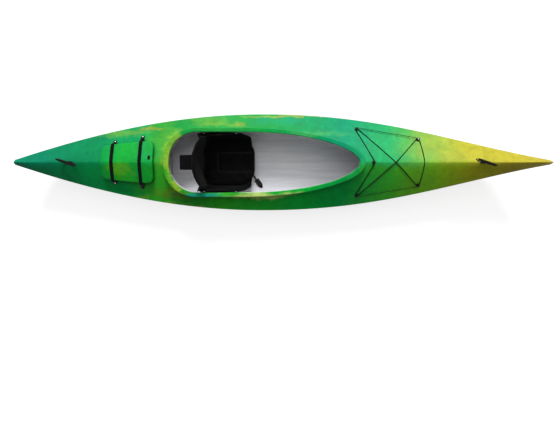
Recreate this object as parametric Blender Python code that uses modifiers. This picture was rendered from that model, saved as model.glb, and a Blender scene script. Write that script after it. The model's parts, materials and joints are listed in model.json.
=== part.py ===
# Touring kayak for one paddler: a hull and a deck moulding welded under the gunwale, with the
# seat, foot braces, stern hatch, deck rigging and carrying handles as separate pieces.
# Metres. +X runs to the bow, +Y to port and +Z up. The origin lies on the flat of the keel,
# under the middle of the length.

from math import asin, atan2, cos, hypot, pi, radians, sin

import bmesh
import bpy
from mathutils import Matrix, Vector
from mathutils.bvhtree import BVHTree

# hull moulding
LENGTH = 3.81
BEAM = 0.711
WALL = 0.005
GAP = 0.0003
MERGE = 0.00001
WIDEST_X = -0.13
TIP_HALF_WIDTH = 0.016
TIP_ROUNDING = 0.012
BOW_SHARPNESS = 0.50
STERN_SHARPNESS = 0.05
BOW_PLAN_POWER = 2.4
STERN_PLAN_POWER = 2.0
SHEER_HEIGHT = 0.178
SHEER_RISE_BOW = 0.170
SHEER_RISE_STERN = 0.090
RIDGE_HEIGHT_AFT = 0.272
RIDGE_HEIGHT_FORE = 0.332
RIDGE_RISE_BOW = 0.063
RIDGE_RISE_STERN = 0.018
RIDGE_RAMP = (-1.35, 0.65)
BOW_RISE = 0.344
BOW_RISE_LENGTH = 0.625
STERN_RISE = 0.2013
STERN_RISE_LENGTH = 0.405
ROCKER = 0.0357
ROCKER_START = -0.60
KEEL_FLAT = 0.050
FULLNESS = 2.9
FULLNESS_LOST = 1.55
DECK_CROWN = 1.25
SOLID_TIP = 0.060
SEAM_DROP = 0.004
STATIONS = 27
END_CROWDING = 0.35
DECK_SHARES = (0.12, 0.32, 0.56, 0.8)
BILGE_STEPS = 7

# cockpit
COCKPIT_HALF_WIDTH = 0.217
COCKPIT_AFT = -0.786
COCKPIT_AFT_ARC = 0.20
COCKPIT_FORE = 0.570
COCKPIT_FORE_ARC = 0.80
LIP_WIDTH = 0.032
LIP_DROP = 0.012
LIP_HEIGHT = 0.285
LIP_RISE_FORE = 0.069
LIP_RISE_AFT = 0.018
LIP_LOW_X = -0.18
COCKPIT_POINTS = 64
OPENING_INSET = 0.0022

# stern hatch
HATCH_AFT = -1.273
HATCH_FORE = -0.900
HATCH_HALF_AFT = 0.120
HATCH_HALF_FORE = 0.158
HATCH_SQUARENESS = 7.0
HATCH_POINTS = 40
LID_RISE = 0.030
LID_FALL_SHARE = 0.9
LID_WALL = 0.004
LID_SKIRT = 0.028
RIM_CLEARANCE = 0.003
RIM_WALL = 0.006
GASKET = 0.004
HATCH_STRAPS = {"rear": (-1.192, 0.150), "front": (-0.992, 0.185)}
WEBBING = 0.0016
HATCH_WEBBING_WIDTH = 0.025
ANCHOR_PLATE = (0.024, 0.018, 0.003)
ROOT_INSET = 0.0011
ROOT_RISE = 0.0016
PULL_TAB = (0.022, 0.013, 0.003)
PULL_TAB_BACK = 0.025
PULL_TAB_Y = 0.033
BUCKLE_WIDTH = 0.031
BUCKLE_THICKNESS = 0.007
BUCKLE_MALE = 0.012
BUCKLE_FEMALE = 0.015
SCREW_HEAD = 0.0042
SCREW_PROUD = 0.001

# seat
SEAT_AFT = -0.611
SEAT_FORE = -0.206
SEAT_BASE = 0.050
SEAT_CORNER = (0.110, 0.050)
WING_PROFILE = ((0.037, 0.020), (0.013, 0.060), (0.0, 0.098))
SEAT_HALF_FLAT = 0.142
SEAT_WALL = 0.005
WING_HEIGHT = 0.270
WING_FORE_HEIGHT = 0.150
SKID_SPACING = 0.190
SKID_WIDTH = 0.030
SEAT_PAD_LENGTH = 0.392
SEAT_PAD_FORE = -0.183
SEAT_PAD_HALF = 0.170
SEAT_PAD_THICKNESS = 0.044
SEAT_CHANNEL = 0.070
BACK_PIVOT = (-0.591, 0.135)
BACK_HALF = 0.184
BACK_LOW = 0.162
BACK_TOP = 0.415
BACK_AFT = -0.603
BACK_WRAP = 0.062
BACK_BOARD = 0.004
BACK_PAD = 0.032
LUG_SPACING = 0.240
LUG_WIDTH = 0.020
LUG_PLATE = 0.006
PIN_RADIUS = 0.004
PIN_CLEARANCE = 0.0003
FLAP_WIDTH = 0.105
FLAP_LENGTH = 0.105
FLAP_HEIGHT = 0.285
FLAP_THICKNESS = 0.012
STRAP_BUCKLE_AT = (-0.158, -0.160)
BOLT_HEAD = 0.0065

# foot braces
BRACE_CENTRE = 0.50
BRACE_HEIGHT = 0.120
BRACE_LENGTH = 0.360
BRACE_RAIL = (0.024, 0.010)
RAIL_SCREW_HEAD = 0.0045
RAIL_SCREW_PROUD = 0.0002
PEDAL_SIZE = (0.085, 0.070, 0.009)
CARRIAGE = (0.060, 0.032, 0.012)
TRIGGER_LENGTH = 0.034

# carrying handles
HANDLES = {"bow": 1.440, "stern": -1.510}
GRIP_LENGTH = 0.122
GRIP_RADIUS = 0.010
GRIP_HEIGHT = 0.044
GRIP_YAW = -20.0
HANDLE_CORD = 0.0064
BUSHING_SPACING = 0.038
BUSHING_HEIGHT = 0.006
BUSHING_RADIUS = 0.007
BUSHING_MOUTH = 0.0016
FAIRLEAD = (0.058, 0.015, 0.003)

# deck rigging
DECK_BUTTONS = {
    "aft": (0.565, 0.240),
    "fore": (1.004, 0.163),
    "middle": (0.668, 0.0),
}
BUTTON_RADIUS = 0.011
BUTTON_CORE = 0.006
BUTTON_HEIGHT = 0.015
BUTTON_FLANGE = 0.003
BUNGEE = 0.005
DECK_LINE = 0.0035
BUNGEE_BOW = 0.012

# foam inside the moulding
BULKHEAD = (-0.880, -0.830)
PILLAR = (0.750, 1.450)
PILLAR_WIDTH = 0.075

STERN_X = -LENGTH / 2
BOW_X = LENGTH / 2
LID_CENTRE = (HATCH_AFT + HATCH_FORE) / 2
LID_HALF_LENGTH = (HATCH_FORE - HATCH_AFT) / 2
DOWN = Vector((0, 0, -1))

for old in list(bpy.data.objects):
    bpy.data.objects.remove(old, do_unlink=True)

kayak = bpy.data.collections.new("touring_kayak")
cutters = bpy.data.collections.new("cutters")
for group in (kayak, cutters):
    bpy.context.scene.collection.children.link(group)


def material(name, colour, roughness, metallic=0.0):
    made = bpy.data.materials.new(name)
    made.use_nodes = True
    shader = made.node_tree.nodes["Principled BSDF"]
    shader.inputs["Base Color"].default_value = (*colour, 1.0)
    shader.inputs["Roughness"].default_value = roughness
    shader.inputs["Metallic"].default_value = metallic
    return made


HULL_PLASTIC = material("green_polyethylene", (0.04, 0.38, 0.10), 0.35)
BLACK_PLASTIC = material("black_nylon", (0.015, 0.015, 0.016), 0.42)
SEAT_PLASTIC = material("black_polyethylene", (0.018, 0.018, 0.020), 0.5)
PAD_FABRIC = material("black_seat_fabric", (0.012, 0.012, 0.013), 0.85)
WEBBING_BLACK = material("black_webbing", (0.014, 0.014, 0.015), 0.8)
CORD_BLACK = material("black_cord", (0.013, 0.013, 0.014), 0.75)
FOAM_GREY = material("grey_foam", (0.25, 0.25, 0.26), 0.9)
RUBBER_BLACK = material("black_rubber", (0.02, 0.02, 0.02), 0.7)
STEEL = material("stainless_steel", (0.62, 0.62, 0.64), 0.28, 1.0)


def mix(a, b, share):
    return a + (b - a) * share


def smooth_step(low, high, value):
    share = min(1.0, max(0.0, (value - low) / (high - low)))
    return share * share * (3 - 2 * share)


def share_to_end(x):
    """How far x lies from the widest section towards its own end, from 0 to 1."""
    end = BOW_X if x > WIDEST_X else STERN_X
    return min(1.0, (x - WIDEST_X) / (end - WIDEST_X))


def half_beam(x):
    u = share_to_end(x)
    ahead = x > WIDEST_X
    sharpness = BOW_SHARPNESS if ahead else STERN_SHARPNESS
    power = BOW_PLAN_POWER if ahead else STERN_PLAN_POWER
    body = (1 - u ** power) * (1 - sharpness * u * u)
    return TIP_HALF_WIDTH + (BEAM / 2 - TIP_HALF_WIDTH) * body


def sheer(x):
    u = share_to_end(x)
    if x > WIDEST_X:
        return SHEER_HEIGHT + SHEER_RISE_BOW * u ** 3.2
    return SHEER_HEIGHT + SHEER_RISE_STERN * u ** 3


def ridge(x):
    u = share_to_end(x)
    level = mix(RIDGE_HEIGHT_AFT, RIDGE_HEIGHT_FORE, smooth_step(*RIDGE_RAMP, x))
    if x > WIDEST_X:
        return level + RIDGE_RISE_BOW * u ** 5.5
    return level + RIDGE_RISE_STERN * u ** 4


def keel(x):
    bow_start = BOW_X - BOW_RISE_LENGTH
    if x > bow_start:
        t = (x - bow_start) / BOW_RISE_LENGTH
        return BOW_RISE * (0.9 * t ** 1.75 + 0.1 * t ** 12)
    if x > ROCKER_START:
        return 0.0
    height = ROCKER * ((ROCKER_START - x) / (ROCKER_START - STERN_X)) ** 2
    stern_start = STERN_X + STERN_RISE_LENGTH
    if x < stern_start:
        t = (stern_start - x) / STERN_RISE_LENGTH
        height += STERN_RISE * (0.75 * t ** 1.7 + 0.25 * t ** 8)
    return height


def half_section(x, inset=0.0):
    """(y, z) down the port side of one section: ridge, deck, gunwale, bilge, flat of the keel."""
    u = share_to_end(x)
    beam = half_beam(x) - inset
    edge = sheer(x) - 0.3 * inset
    top = ridge(x) - 1.05 * inset
    bottom = keel(x) + inset
    flat = KEEL_FLAT * (1 - u * u) + TIP_HALF_WIDTH / 3
    power = FULLNESS - FULLNESS_LOST * u ** 1.5
    points = [(0.0, top)]
    for share in DECK_SHARES:
        points.append((beam * share, edge + (top - edge) * (1 - share ** DECK_CROWN)))
    points.append((beam, edge))
    for step in range(1, BILGE_STEPS + 1):
        angle = pi / 2 * step / BILGE_STEPS
        y = flat + (beam - flat) * max(0.0, cos(angle)) ** (2 / power)
        z = edge - (edge - bottom) * sin(angle) ** (2 / power)
        points.append((y, z))
    return points


def ring_at(x, half):
    """A closed ring across the boat from the (y, z) points of its port half."""
    port = [Vector((x, y, z)) for y, z in half]
    starboard = [Vector((x, -y, z)) for y, z in reversed(half) if y > 0]
    return port + starboard


def section(x, inset=0.0, shrink=1.0):
    ring = ring_at(x, half_section(x, inset))
    middle = sum(ring, Vector()) / len(ring)
    return [Vector((x, *(middle + (p - middle) * shrink).yz)) for p in ring]


def hull_stations():
    start = STERN_X + TIP_ROUNDING
    end = BOW_X - TIP_ROUNDING
    places = []
    for i in range(STATIONS):
        share = i / (STATIONS - 1)
        eased = mix(share, 0.5 - 0.5 * cos(pi * share), END_CROWDING)
        places.append(mix(start, end, eased))
    return sorted(places + [WIDEST_X, *BULKHEAD, *PILLAR])


def solid_of(rings, closed=False):
    """A closed mesh through rings of equal point counts, capped unless it closes on itself."""
    mesh = bmesh.new()
    loops = [[mesh.verts.new(point) for point in ring] for ring in rings]
    pairs = list(zip(loops, loops[1:]))
    if closed:
        pairs.append((loops[-1], loops[0]))
    for near, far in pairs:
        for i in range(len(near)):
            j = (i + 1) % len(near)
            mesh.faces.new((near[i], near[j], far[j], far[i]))
    if not closed:
        mesh.faces.new(list(reversed(loops[0])))
        mesh.faces.new(loops[-1])
    bmesh.ops.triangulate(mesh, faces=mesh.faces, quad_method="SHORT_EDGE")
    bmesh.ops.recalc_face_normals(mesh, faces=mesh.faces)
    return mesh


def to_object(name, mesh, look, into=kayak):
    data = bpy.data.meshes.new(name)
    mesh.to_mesh(data)
    mesh.free()
    made = bpy.data.objects.new(name, data)
    made.data.materials.append(look)
    into.objects.link(made)
    if into is cutters:
        made.hide_render = True
        made.display_type = "WIRE"
    return made


def merged(name, pieces, look, into=kayak):
    """One object from (mesh, place) pairs, each copied to its place."""
    mesh = bmesh.new()
    for piece, place in pieces:
        copy = piece.copy()
        copy.transform(place)
        data = bpy.data.meshes.new("piece")
        copy.to_mesh(data)
        copy.free()
        mesh.from_mesh(data)
        bpy.data.meshes.remove(data)
    bmesh.ops.recalc_face_normals(mesh, faces=mesh.faces)
    return to_object(name, mesh, look, into)


def placed(name, piece, place, look):
    return merged(name, [(piece, place)], look)


def boolean(target, operand, operation):
    cut = target.modifiers.new(operand.name, "BOOLEAN")
    cut.object = operand
    cut.operation = operation
    cut.solver = "EXACT"


def block(size, bevel=0.0, segments=1):
    """A box about its own middle, its edges rounded by bevel."""
    mesh = bmesh.new()
    bmesh.ops.create_cube(mesh, size=1.0)
    bmesh.ops.scale(mesh, vec=size, verts=mesh.verts)
    if bevel:
        bmesh.ops.bevel(mesh, geom=mesh.edges[:], offset=bevel, segments=segments, profile=0.5,
                        affect="EDGES")
    return mesh


def rod(radius, length, sides=16):
    """A cylinder about the Z axis, around its own middle."""
    mesh = bmesh.new()
    bmesh.ops.create_cone(mesh, cap_ends=True, segments=sides, radius1=radius, radius2=radius,
                          depth=length)
    return mesh


def turned(profile, steps=14, bored=False):
    """A profile of (radius, z) corners, top to bottom on its outer side, turned about Z."""
    wire = bmesh.new()
    corners = [wire.verts.new((radius, 0.0, z)) for radius, z in profile]
    for first, second in zip(corners, corners[1:]):
        wire.edges.new((first, second))
    if bored:
        wire.edges.new((corners[-1], corners[0]))
    shape = to_object("profile", wire, STEEL, cutters)
    screw = shape.modifiers.new("turn", "SCREW")
    screw.axis = "Z"
    screw.angle = 2 * pi
    screw.steps = steps
    screw.render_steps = steps
    screw.use_merge_vertices = True
    screw.merge_threshold = MERGE
    bpy.context.view_layer.update()
    seen = shape.evaluated_get(bpy.context.evaluated_depsgraph_get())
    data = bpy.data.meshes.new_from_object(seen)
    bpy.data.objects.remove(shape, do_unlink=True)
    mesh = bmesh.new()
    mesh.from_mesh(data)
    bpy.data.meshes.remove(data)
    bmesh.ops.remove_doubles(mesh, verts=mesh.verts, dist=MERGE)
    bmesh.ops.recalc_face_normals(mesh, faces=mesh.faces)
    return mesh


def cord(name, points, diameter, look=CORD_BLACK, closed=False):
    curve = bpy.data.curves.new(name, "CURVE")
    curve.dimensions = "3D"
    curve.bevel_depth = diameter / 2
    curve.bevel_resolution = 1
    curve.use_fill_caps = not closed
    spline = curve.splines.new("POLY")
    spline.points.add(len(points) - 1)
    for target, point in zip(spline.points, points):
        target.co = (*point, 1.0)
    spline.use_cyclic_u = closed
    made = bpy.data.objects.new(name, curve)
    made.data.materials.append(look)
    kayak.objects.link(made)
    return made


def ribbon(points, across, width, thickness, start_across=None):
    """Flat webbing along points, its width along across, or along start_across at its start."""
    rings = []
    for i, point in enumerate(points):
        ahead = points[min(i + 1, len(points) - 1)] - points[max(i - 1, 0)]
        width_along = start_across if start_across and i == 0 else across
        side = width_along.normalized() * width / 2
        face = width_along.cross(ahead).normalized() * thickness / 2
        rings.append([point - side - face, point + side - face, point + side + face, point - side + face])
    return solid_of(rings)


def pillow(across, along, place):
    """A closed cushion on a grid: place(u, v, side) gives its two faces, which share an edge."""
    mesh = bmesh.new()
    faces = {}
    for side in (1, -1):
        for i, u in enumerate(across):
            for j, v in enumerate(along):
                on_edge = i in (0, len(across) - 1) or j in (0, len(along) - 1)
                if side < 0 and on_edge:
                    faces[side, i, j] = faces[1, i, j]
                else:
                    faces[side, i, j] = mesh.verts.new(place(u, v, 0 if on_edge else side))
        for i in range(len(across) - 1):
            for j in range(len(along) - 1):
                corners = [faces[side, i, j], faces[side, i + 1, j], faces[side, i + 1, j + 1],
                           faces[side, i, j + 1]]
                mesh.faces.new(corners if side > 0 else corners[::-1])
    bmesh.ops.triangulate(mesh, faces=mesh.faces, quad_method="SHORT_EDGE")
    bmesh.ops.recalc_face_normals(mesh, faces=mesh.faces)
    return mesh


def both_ways(values):
    """The values and their negatives, in order, around 0."""
    return [-value for value in reversed(values)] + [0.0] + list(values)


def seat_on(tree, origin, towards, reach_x, reach_side, upright=False):
    """Place on a skin met from origin along towards, with +X kept ahead and +Z off the skin.

    The base plane clears the skin by GAP over a patch of the given half sizes, and an upright
    place doesn't lean to either side."""
    side = towards.cross(Vector((1, 0, 0)))
    hits = []
    normals = Vector()
    for i in (-1, -0.5, 0, 0.5, 1):
        for j in (-1, -0.5, 0, 0.5, 1):
            start = origin + Vector((1, 0, 0)) * reach_x * i + side * reach_side * j
            point, normal, _, _ = tree.ray_cast(start, towards)
            if normal.dot(towards) > 0:
                normal = -normal
            hits.append(point)
            normals += normal
    if upright:
        normals.y = 0.0
    up = normals.normalized()
    ahead = (Vector((1, 0, 0)) - up * up.x).normalized()
    level = max(hit.dot(up) for hit in hits) + GAP
    centre = tree.ray_cast(origin, towards)[0]
    base = centre + up * (level - centre.dot(up))
    turn = Matrix((ahead, up.cross(ahead), up)).transposed().to_4x4()
    return Matrix.Translation(base) @ turn


def shifted(x, y, z):
    return Matrix.Translation((x, y, z))


def mirrored(place):
    """The same place on the starboard side."""
    return Matrix.Scale(-1, 4, (0, 1, 0)) @ place


SIDES = {"port": Matrix(), "starboard": mirrored(Matrix())}


def hinge_empty(name, at, children):
    """An empty on a joint's axis, carrying the pieces that move about it."""
    pivot = bpy.data.objects.new(name, None)
    pivot.location = at
    pivot.empty_display_size = 0.05
    kayak.objects.link(pivot)
    bpy.context.view_layer.update()
    for child in children:
        child.parent = pivot
        child.matrix_parent_inverse = pivot.matrix_world.inverted()


def evenly(loop, count):
    """A closed loop of (x, y) points walked in equal steps from its first point."""
    lengths = [0.0]
    for a, b in zip(loop, loop[1:] + loop[:1]):
        lengths.append(lengths[-1] + hypot(b[0] - a[0], b[1] - a[1]))
    points = []
    at = 0
    for i in range(count):
        wanted = lengths[-1] * i / count
        while lengths[at + 1] < wanted:
            at += 1
        share = (wanted - lengths[at]) / (lengths[at + 1] - lengths[at])
        a, b = loop[at], loop[(at + 1) % len(loop)]
        points.append((mix(a[0], b[0], share), mix(a[1], b[1], share)))
    return points


def outset(loop, distance):
    """The loop moved outwards along its own normals; it runs clockwise seen from above."""
    moved = []
    for i, (x, y) in enumerate(loop):
        before = loop[i - 1]
        after = loop[(i + 1) % len(loop)]
        run = Vector((after[0] - before[0], after[1] - before[1])).normalized()
        moved.append((x - run.y * distance, y + run.x * distance))
    return moved


def cockpit_loop():
    """The inner edge of the coaming, from the middle of its after end round by port."""
    steps = 120
    port = []
    aft_centre = COCKPIT_AFT + COCKPIT_AFT_ARC
    fore_centre = COCKPIT_FORE - COCKPIT_FORE_ARC
    for i in range(steps):
        angle = pi / 2 * i / steps
        port.append((aft_centre - COCKPIT_AFT_ARC * cos(angle), COCKPIT_HALF_WIDTH * sin(angle) ** 0.9))
    for i in range(steps):
        angle = pi / 2 * i / steps
        port.append((fore_centre + COCKPIT_FORE_ARC * sin(angle), COCKPIT_HALF_WIDTH * cos(angle) ** 1.1))
    port.append((COCKPIT_FORE, 0.0))
    starboard = [(x, -y) for x, y in reversed(port[1:-1])]
    return evenly(port + starboard, COCKPIT_POINTS)


def lip_height(x):
    if x > LIP_LOW_X:
        share = (x - LIP_LOW_X) / (COCKPIT_FORE + LIP_WIDTH - LIP_LOW_X)
        return LIP_HEIGHT + LIP_RISE_FORE * share ** 2.8
    share = (LIP_LOW_X - x) / (LIP_LOW_X - COCKPIT_AFT + LIP_WIDTH)
    return LIP_HEIGHT + LIP_RISE_AFT * share ** 2


def hatch_half_width(x):
    return mix(HATCH_HALF_AFT, HATCH_HALF_FORE, (x - HATCH_AFT) / (HATCH_FORE - HATCH_AFT))


def hatch_loop():
    """The lid's outline, a squared oval that widens forward, from its after end by port."""
    steps = 400
    points = []
    for i in range(steps):
        angle = 2 * pi * i / steps
        along = -cos(angle)
        over = sin(angle)
        x = LID_CENTRE + LID_HALF_LENGTH * abs(along) ** (2 / HATCH_SQUARENESS) * (1 if along > 0 else -1)
        y = hatch_half_width(x) * abs(over) ** (2 / HATCH_SQUARENESS) * (1 if over > 0 else -1)
        points.append((x, y))
    return evenly(points, HATCH_POINTS)


def lid_edge(x):
    """Half-width of the lid at x."""
    along = abs(x - LID_CENTRE) / LID_HALF_LENGTH
    return hatch_half_width(x) * (1 - along ** HATCH_SQUARENESS) ** (1 / HATCH_SQUARENESS)


def lid_top(y):
    """Height of the lid, which is ridged like the deck under it and a little flatter."""
    deck_fall = ridge(LID_CENTRE) - sheer(LID_CENTRE)
    fall = deck_fall * (abs(y) / half_beam(LID_CENTRE)) ** DECK_CROWN
    return ridge(HATCH_FORE) + LID_RISE - LID_FALL_SHARE * fall


def ring_sweep(loop, profile):
    """A section of (outward, z) corners, given by profile(x, y), carried round a closed loop."""
    offsets = sorted({outward for outward, _ in profile(*loop[0])})
    moved = {outward: outset(loop, outward) for outward in offsets}
    rings = []
    for i, (x, y) in enumerate(loop):
        rings.append([Vector((*moved[outward][i], z)) for outward, z in profile(x, y)])
    return solid_of(rings, closed=True)


def prism(loop, low, high):
    return solid_of([[Vector((x, y, z)) for x, y in loop] for z in (low, high)])


outer_rings = [section(STERN_X, shrink=0.5)]
outer_rings += [section(x) for x in hull_stations()]
outer_rings.append(section(BOW_X, shrink=0.5))
outer_mesh = solid_of(outer_rings)
deck_skin = BVHTree.FromBMesh(outer_mesh)

hollow_start = STERN_X + SOLID_TIP
hollow_end = BOW_X - SOLID_TIP
hollow_stations = [x for x in hull_stations() if hollow_start + 0.02 < x < hollow_end - 0.02]
inner_rings = [section(x, WALL) for x in [hollow_start] + hollow_stations + [hollow_end]]
inner_mesh = solid_of(inner_rings)
inner_skin = BVHTree.FromBMesh(inner_mesh)


def deck_z(x, y):
    """Height of the moulding's faceted deck."""
    return deck_skin.ray_cast(Vector((x, y, 1.0)), DOWN)[0].z


def coaming_profile(x, y):
    """Riser out of the deck's thickness, rounded lip and its turned-down edge."""
    base = deck_z(x, y) - WALL / 2
    top = lip_height(x)
    return [
        (0.0, base), (0.0, top - 0.004), (0.004, top), (LIP_WIDTH - 0.004, top - 0.001),
        (LIP_WIDTH, top - 0.005), (LIP_WIDTH, top - LIP_DROP), (LIP_WIDTH - 0.004, top - LIP_DROP),
        (LIP_WIDTH - 0.005, top - 0.007), (WALL + 0.002, top - 0.006), (WALL, top - 0.008), (WALL, base),
    ]


RIM_OUTER = -(LID_WALL + RIM_CLEARANCE)
RIM_INNER = RIM_OUTER - RIM_WALL


def rim_top(y):
    return lid_top(y) - LID_WALL - GASKET - 3 * GAP


def rim_profile(x, y):
    """Upstand round the hatch opening, out of the deck's thickness."""
    middle = (RIM_INNER + RIM_OUTER) / 2
    base = deck_z(x, y) - WALL / 2
    return [(RIM_INNER, base), (RIM_INNER, rim_top(y)), (middle, rim_top(y)), (RIM_OUTER, rim_top(y)),
            (RIM_OUTER, base)]


def above_seam(clearance):
    """All that lies above the welded seam, raised by clearance."""
    rings = []
    for x in [STERN_X - TIP_ROUNDING] + hull_stations() + [BOW_X + TIP_ROUNDING]:
        low = sheer(x) - SEAM_DROP + clearance
        high = 2 * RIDGE_HEIGHT_FORE
        rings.append([Vector((x, y, z)) for y, z in ((BEAM, low), (BEAM, high), (-BEAM, high), (-BEAM, low))])
    return solid_of(rings)


def make_hull():
    opening = cockpit_loop()
    hatch = hatch_loop()
    low = SHEER_HEIGHT - 0.028
    hollow = to_object("hollow", inner_mesh, HULL_PLASTIC, cutters)
    hull = to_object("hull_shell", outer_mesh.copy(), HULL_PLASTIC)
    boolean(hull, hollow, "DIFFERENCE")
    boolean(hull, to_object("above_hull", above_seam(-GAP / 2), HULL_PLASTIC, cutters), "DIFFERENCE")
    deck = to_object("deck_shell", outer_mesh, HULL_PLASTIC)
    boolean(deck, hollow, "DIFFERENCE")
    operands = [
        ("above_seam", above_seam(GAP / 2), "INTERSECT"),
        ("cockpit_opening", prism(outset(opening, OPENING_INSET), low, 0.45), "DIFFERENCE"),
        ("coaming", ring_sweep(opening, coaming_profile), "UNION"),
        ("hatch_opening", prism(outset(hatch, (RIM_INNER + RIM_OUTER) / 2), 0.21, 0.35), "DIFFERENCE"),
        ("hatch_rim", ring_sweep(hatch, rim_profile), "UNION"),
    ]
    for name, mesh, operation in operands:
        boolean(deck, to_object(name, mesh, HULL_PLASTIC, cutters), operation)
    for made in (hull, deck):
        weld = made.modifiers.new("weld", "WELD")
        weld.merge_threshold = MERGE


def floor_z(x, y):
    """Height of the moulding's inside floor."""
    return inner_skin.ray_cast(Vector((x, y, SHEER_HEIGHT)), DOWN)[0].z


def roof_z(x, y):
    """Height of the deck's underside."""
    return inner_skin.ray_cast(Vector((x, y, SHEER_HEIGHT)), Vector((0, 0, 1)))[0].z


def make_foam():
    """The stern bulkhead fills a slice of the hollow; the bow pillar stands from keel to deck."""
    fit = WALL + 2 * GAP
    to_object("stern_bulkhead", solid_of([section(x, fit) for x in BULKHEAD]), FOAM_GREY)
    rings = []
    for x in hull_stations():
        if not PILLAR[0] <= x <= PILLAR[1]:
            continue
        half = PILLAR_WIDTH / 2
        low = floor_z(x, half) + 2 * GAP
        high = roof_z(x, half) - 2 * GAP
        keel_low = floor_z(x, 0.0) + 2 * GAP
        crest = roof_z(x, 0.0) - 2 * GAP
        ring = [(x, 0, keel_low), (x, half, low), (x, half, high), (x, 0, crest), (x, -half, high),
                (x, -half, low)]
        rings.append([Vector(point) for point in ring])
    to_object("bow_pillar", solid_of(rings), FOAM_GREY)


def coaming_half(x):
    """Half-width between the coaming's faceted inner faces at x."""
    loop = cockpit_loop()
    for (x0, y0), (x1, y1) in zip(loop, loop[1:]):
        if x0 <= x <= x1 and y1 >= 0:
            return mix(y0, y1, (x - x0) / (x1 - x0))
    return 0.0


def wing_height(x):
    rise = smooth_step(SEAT_AFT, SEAT_AFT + 0.065, x)
    drop = smooth_step(SEAT_FORE - 0.11, SEAT_FORE, x)
    return WING_HEIGHT - (WING_HEIGHT - WING_FORE_HEIGHT) * (1 - rise + drop)


def pan_half(x):
    """Half-width outside the pan, which fills the cockpit and has rounded corners in front."""
    length, depth = SEAT_CORNER
    share = max(0.0, (x - SEAT_FORE + length) / length)
    return coaming_half(x) - GAP - depth * (1 - (1 - share * share) ** 0.5)


def pan_ring(x):
    """A slice of the seat pan: flat base, rising bilges and upright wings."""
    outside = pan_half(x)
    first_inset = WING_PROFILE[0][0]
    outer = [(0.0, SEAT_BASE), (min(SEAT_HALF_FLAT, outside - 1.5 * first_inset), SEAT_BASE + 0.002)]
    outer += [(outside - inset, SEAT_BASE + rise) for inset, rise in WING_PROFILE]
    outer.append((outside, wing_height(x)))
    inner = [(0.0, SEAT_BASE + SEAT_WALL)]
    for i in range(1, len(outer)):
        before = outer[i - 1]
        after = outer[min(i + 1, len(outer) - 1)]
        run = Vector((after[0] - before[0], after[1] - before[1])).normalized()
        y, z = outer[i]
        inner.append((y - run.y * SEAT_WALL, z + run.x * SEAT_WALL))
    return ring_at(x, outer + inner[::-1])


def pan_top(y):
    """Height of the pan's upper face across its base."""
    start = SEAT_BASE + SEAT_WALL
    if y <= SEAT_HALF_FLAT:
        return start + 0.002 * y / SEAT_HALF_FLAT
    return start + 0.002 + 0.6 * (y - SEAT_HALF_FLAT)


def lug_offsets():
    """The middles of the plates that stand either side of each backrest lug."""
    reach = LUG_WIDTH / 2 + GAP + LUG_PLATE / 2
    return [side * LUG_SPACING / 2 + step for side in (-1, 1) for step in (-reach, reach)]


def make_seat():
    pivot_x, pivot_z = BACK_PIVOT
    steps = [SEAT_AFT, SEAT_AFT + 0.02, SEAT_AFT + 0.04, SEAT_AFT + 0.065, SEAT_AFT + 0.16]
    steps += [SEAT_FORE - back for back in (0.13, 0.09, 0.055, 0.024, 0.008, 0.0)]
    pan = to_object("seat_pan", solid_of([pan_ring(x) for x in steps]), SEAT_PLASTIC)
    length = SEAT_FORE - SEAT_AFT - 0.04
    middle = (SEAT_FORE + SEAT_AFT) / 2
    outer_y = (SKID_SPACING + SKID_WIDTH) / 2
    low = max(floor_z(middle + end * length / 2, outer_y) for end in (-1, 1)) + GAP
    skid = block((length, SKID_WIDTH, SEAT_BASE + 0.002 - low))
    skids = [(skid, shifted(middle, side * SKID_SPACING / 2, (SEAT_BASE + 0.002 + low) / 2))
             for side in (-1, 1)]
    boolean(pan, merged("seat_skids", skids, SEAT_PLASTIC, cutters), "UNION")
    lug_low = SEAT_BASE + 0.004
    lug_top = pivot_z + 0.012
    plate = block((0.026, LUG_PLATE, lug_top - lug_low))
    plates = [(plate, shifted(pivot_x, y, (lug_top + lug_low) / 2)) for y in lug_offsets()]
    boolean(pan, merged("seat_lugs", plates, SEAT_PLASTIC, cutters), "UNION")
    across = Matrix.Rotation(pi / 2, 4, "X")
    bore = rod(PIN_RADIUS + PIN_CLEARANCE, LUG_SPACING + 2 * LUG_WIDTH + 0.02)
    bores = merged("pin_bores", [(bore, shifted(pivot_x, 0, pivot_z) @ across)], STEEL, cutters)
    boolean(pan, bores, "DIFFERENCE")
    reach = LUG_SPACING / 2 + LUG_WIDTH / 2 + LUG_PLATE + 2 * GAP
    head = PIN_RADIUS + 0.002
    pin = turned([(0, reach + 0.002), (head, reach + 0.002), (head, reach), (PIN_RADIUS, reach),
                  (PIN_RADIUS, -reach), (head, -reach), (head, -reach - 0.002), (0, -reach - 0.002)], 16)
    placed("backrest_rod", pin, shifted(pivot_x, 0, pivot_z) @ across, STEEL)
    make_seat_pads()
    return make_backrest(bores)


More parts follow.
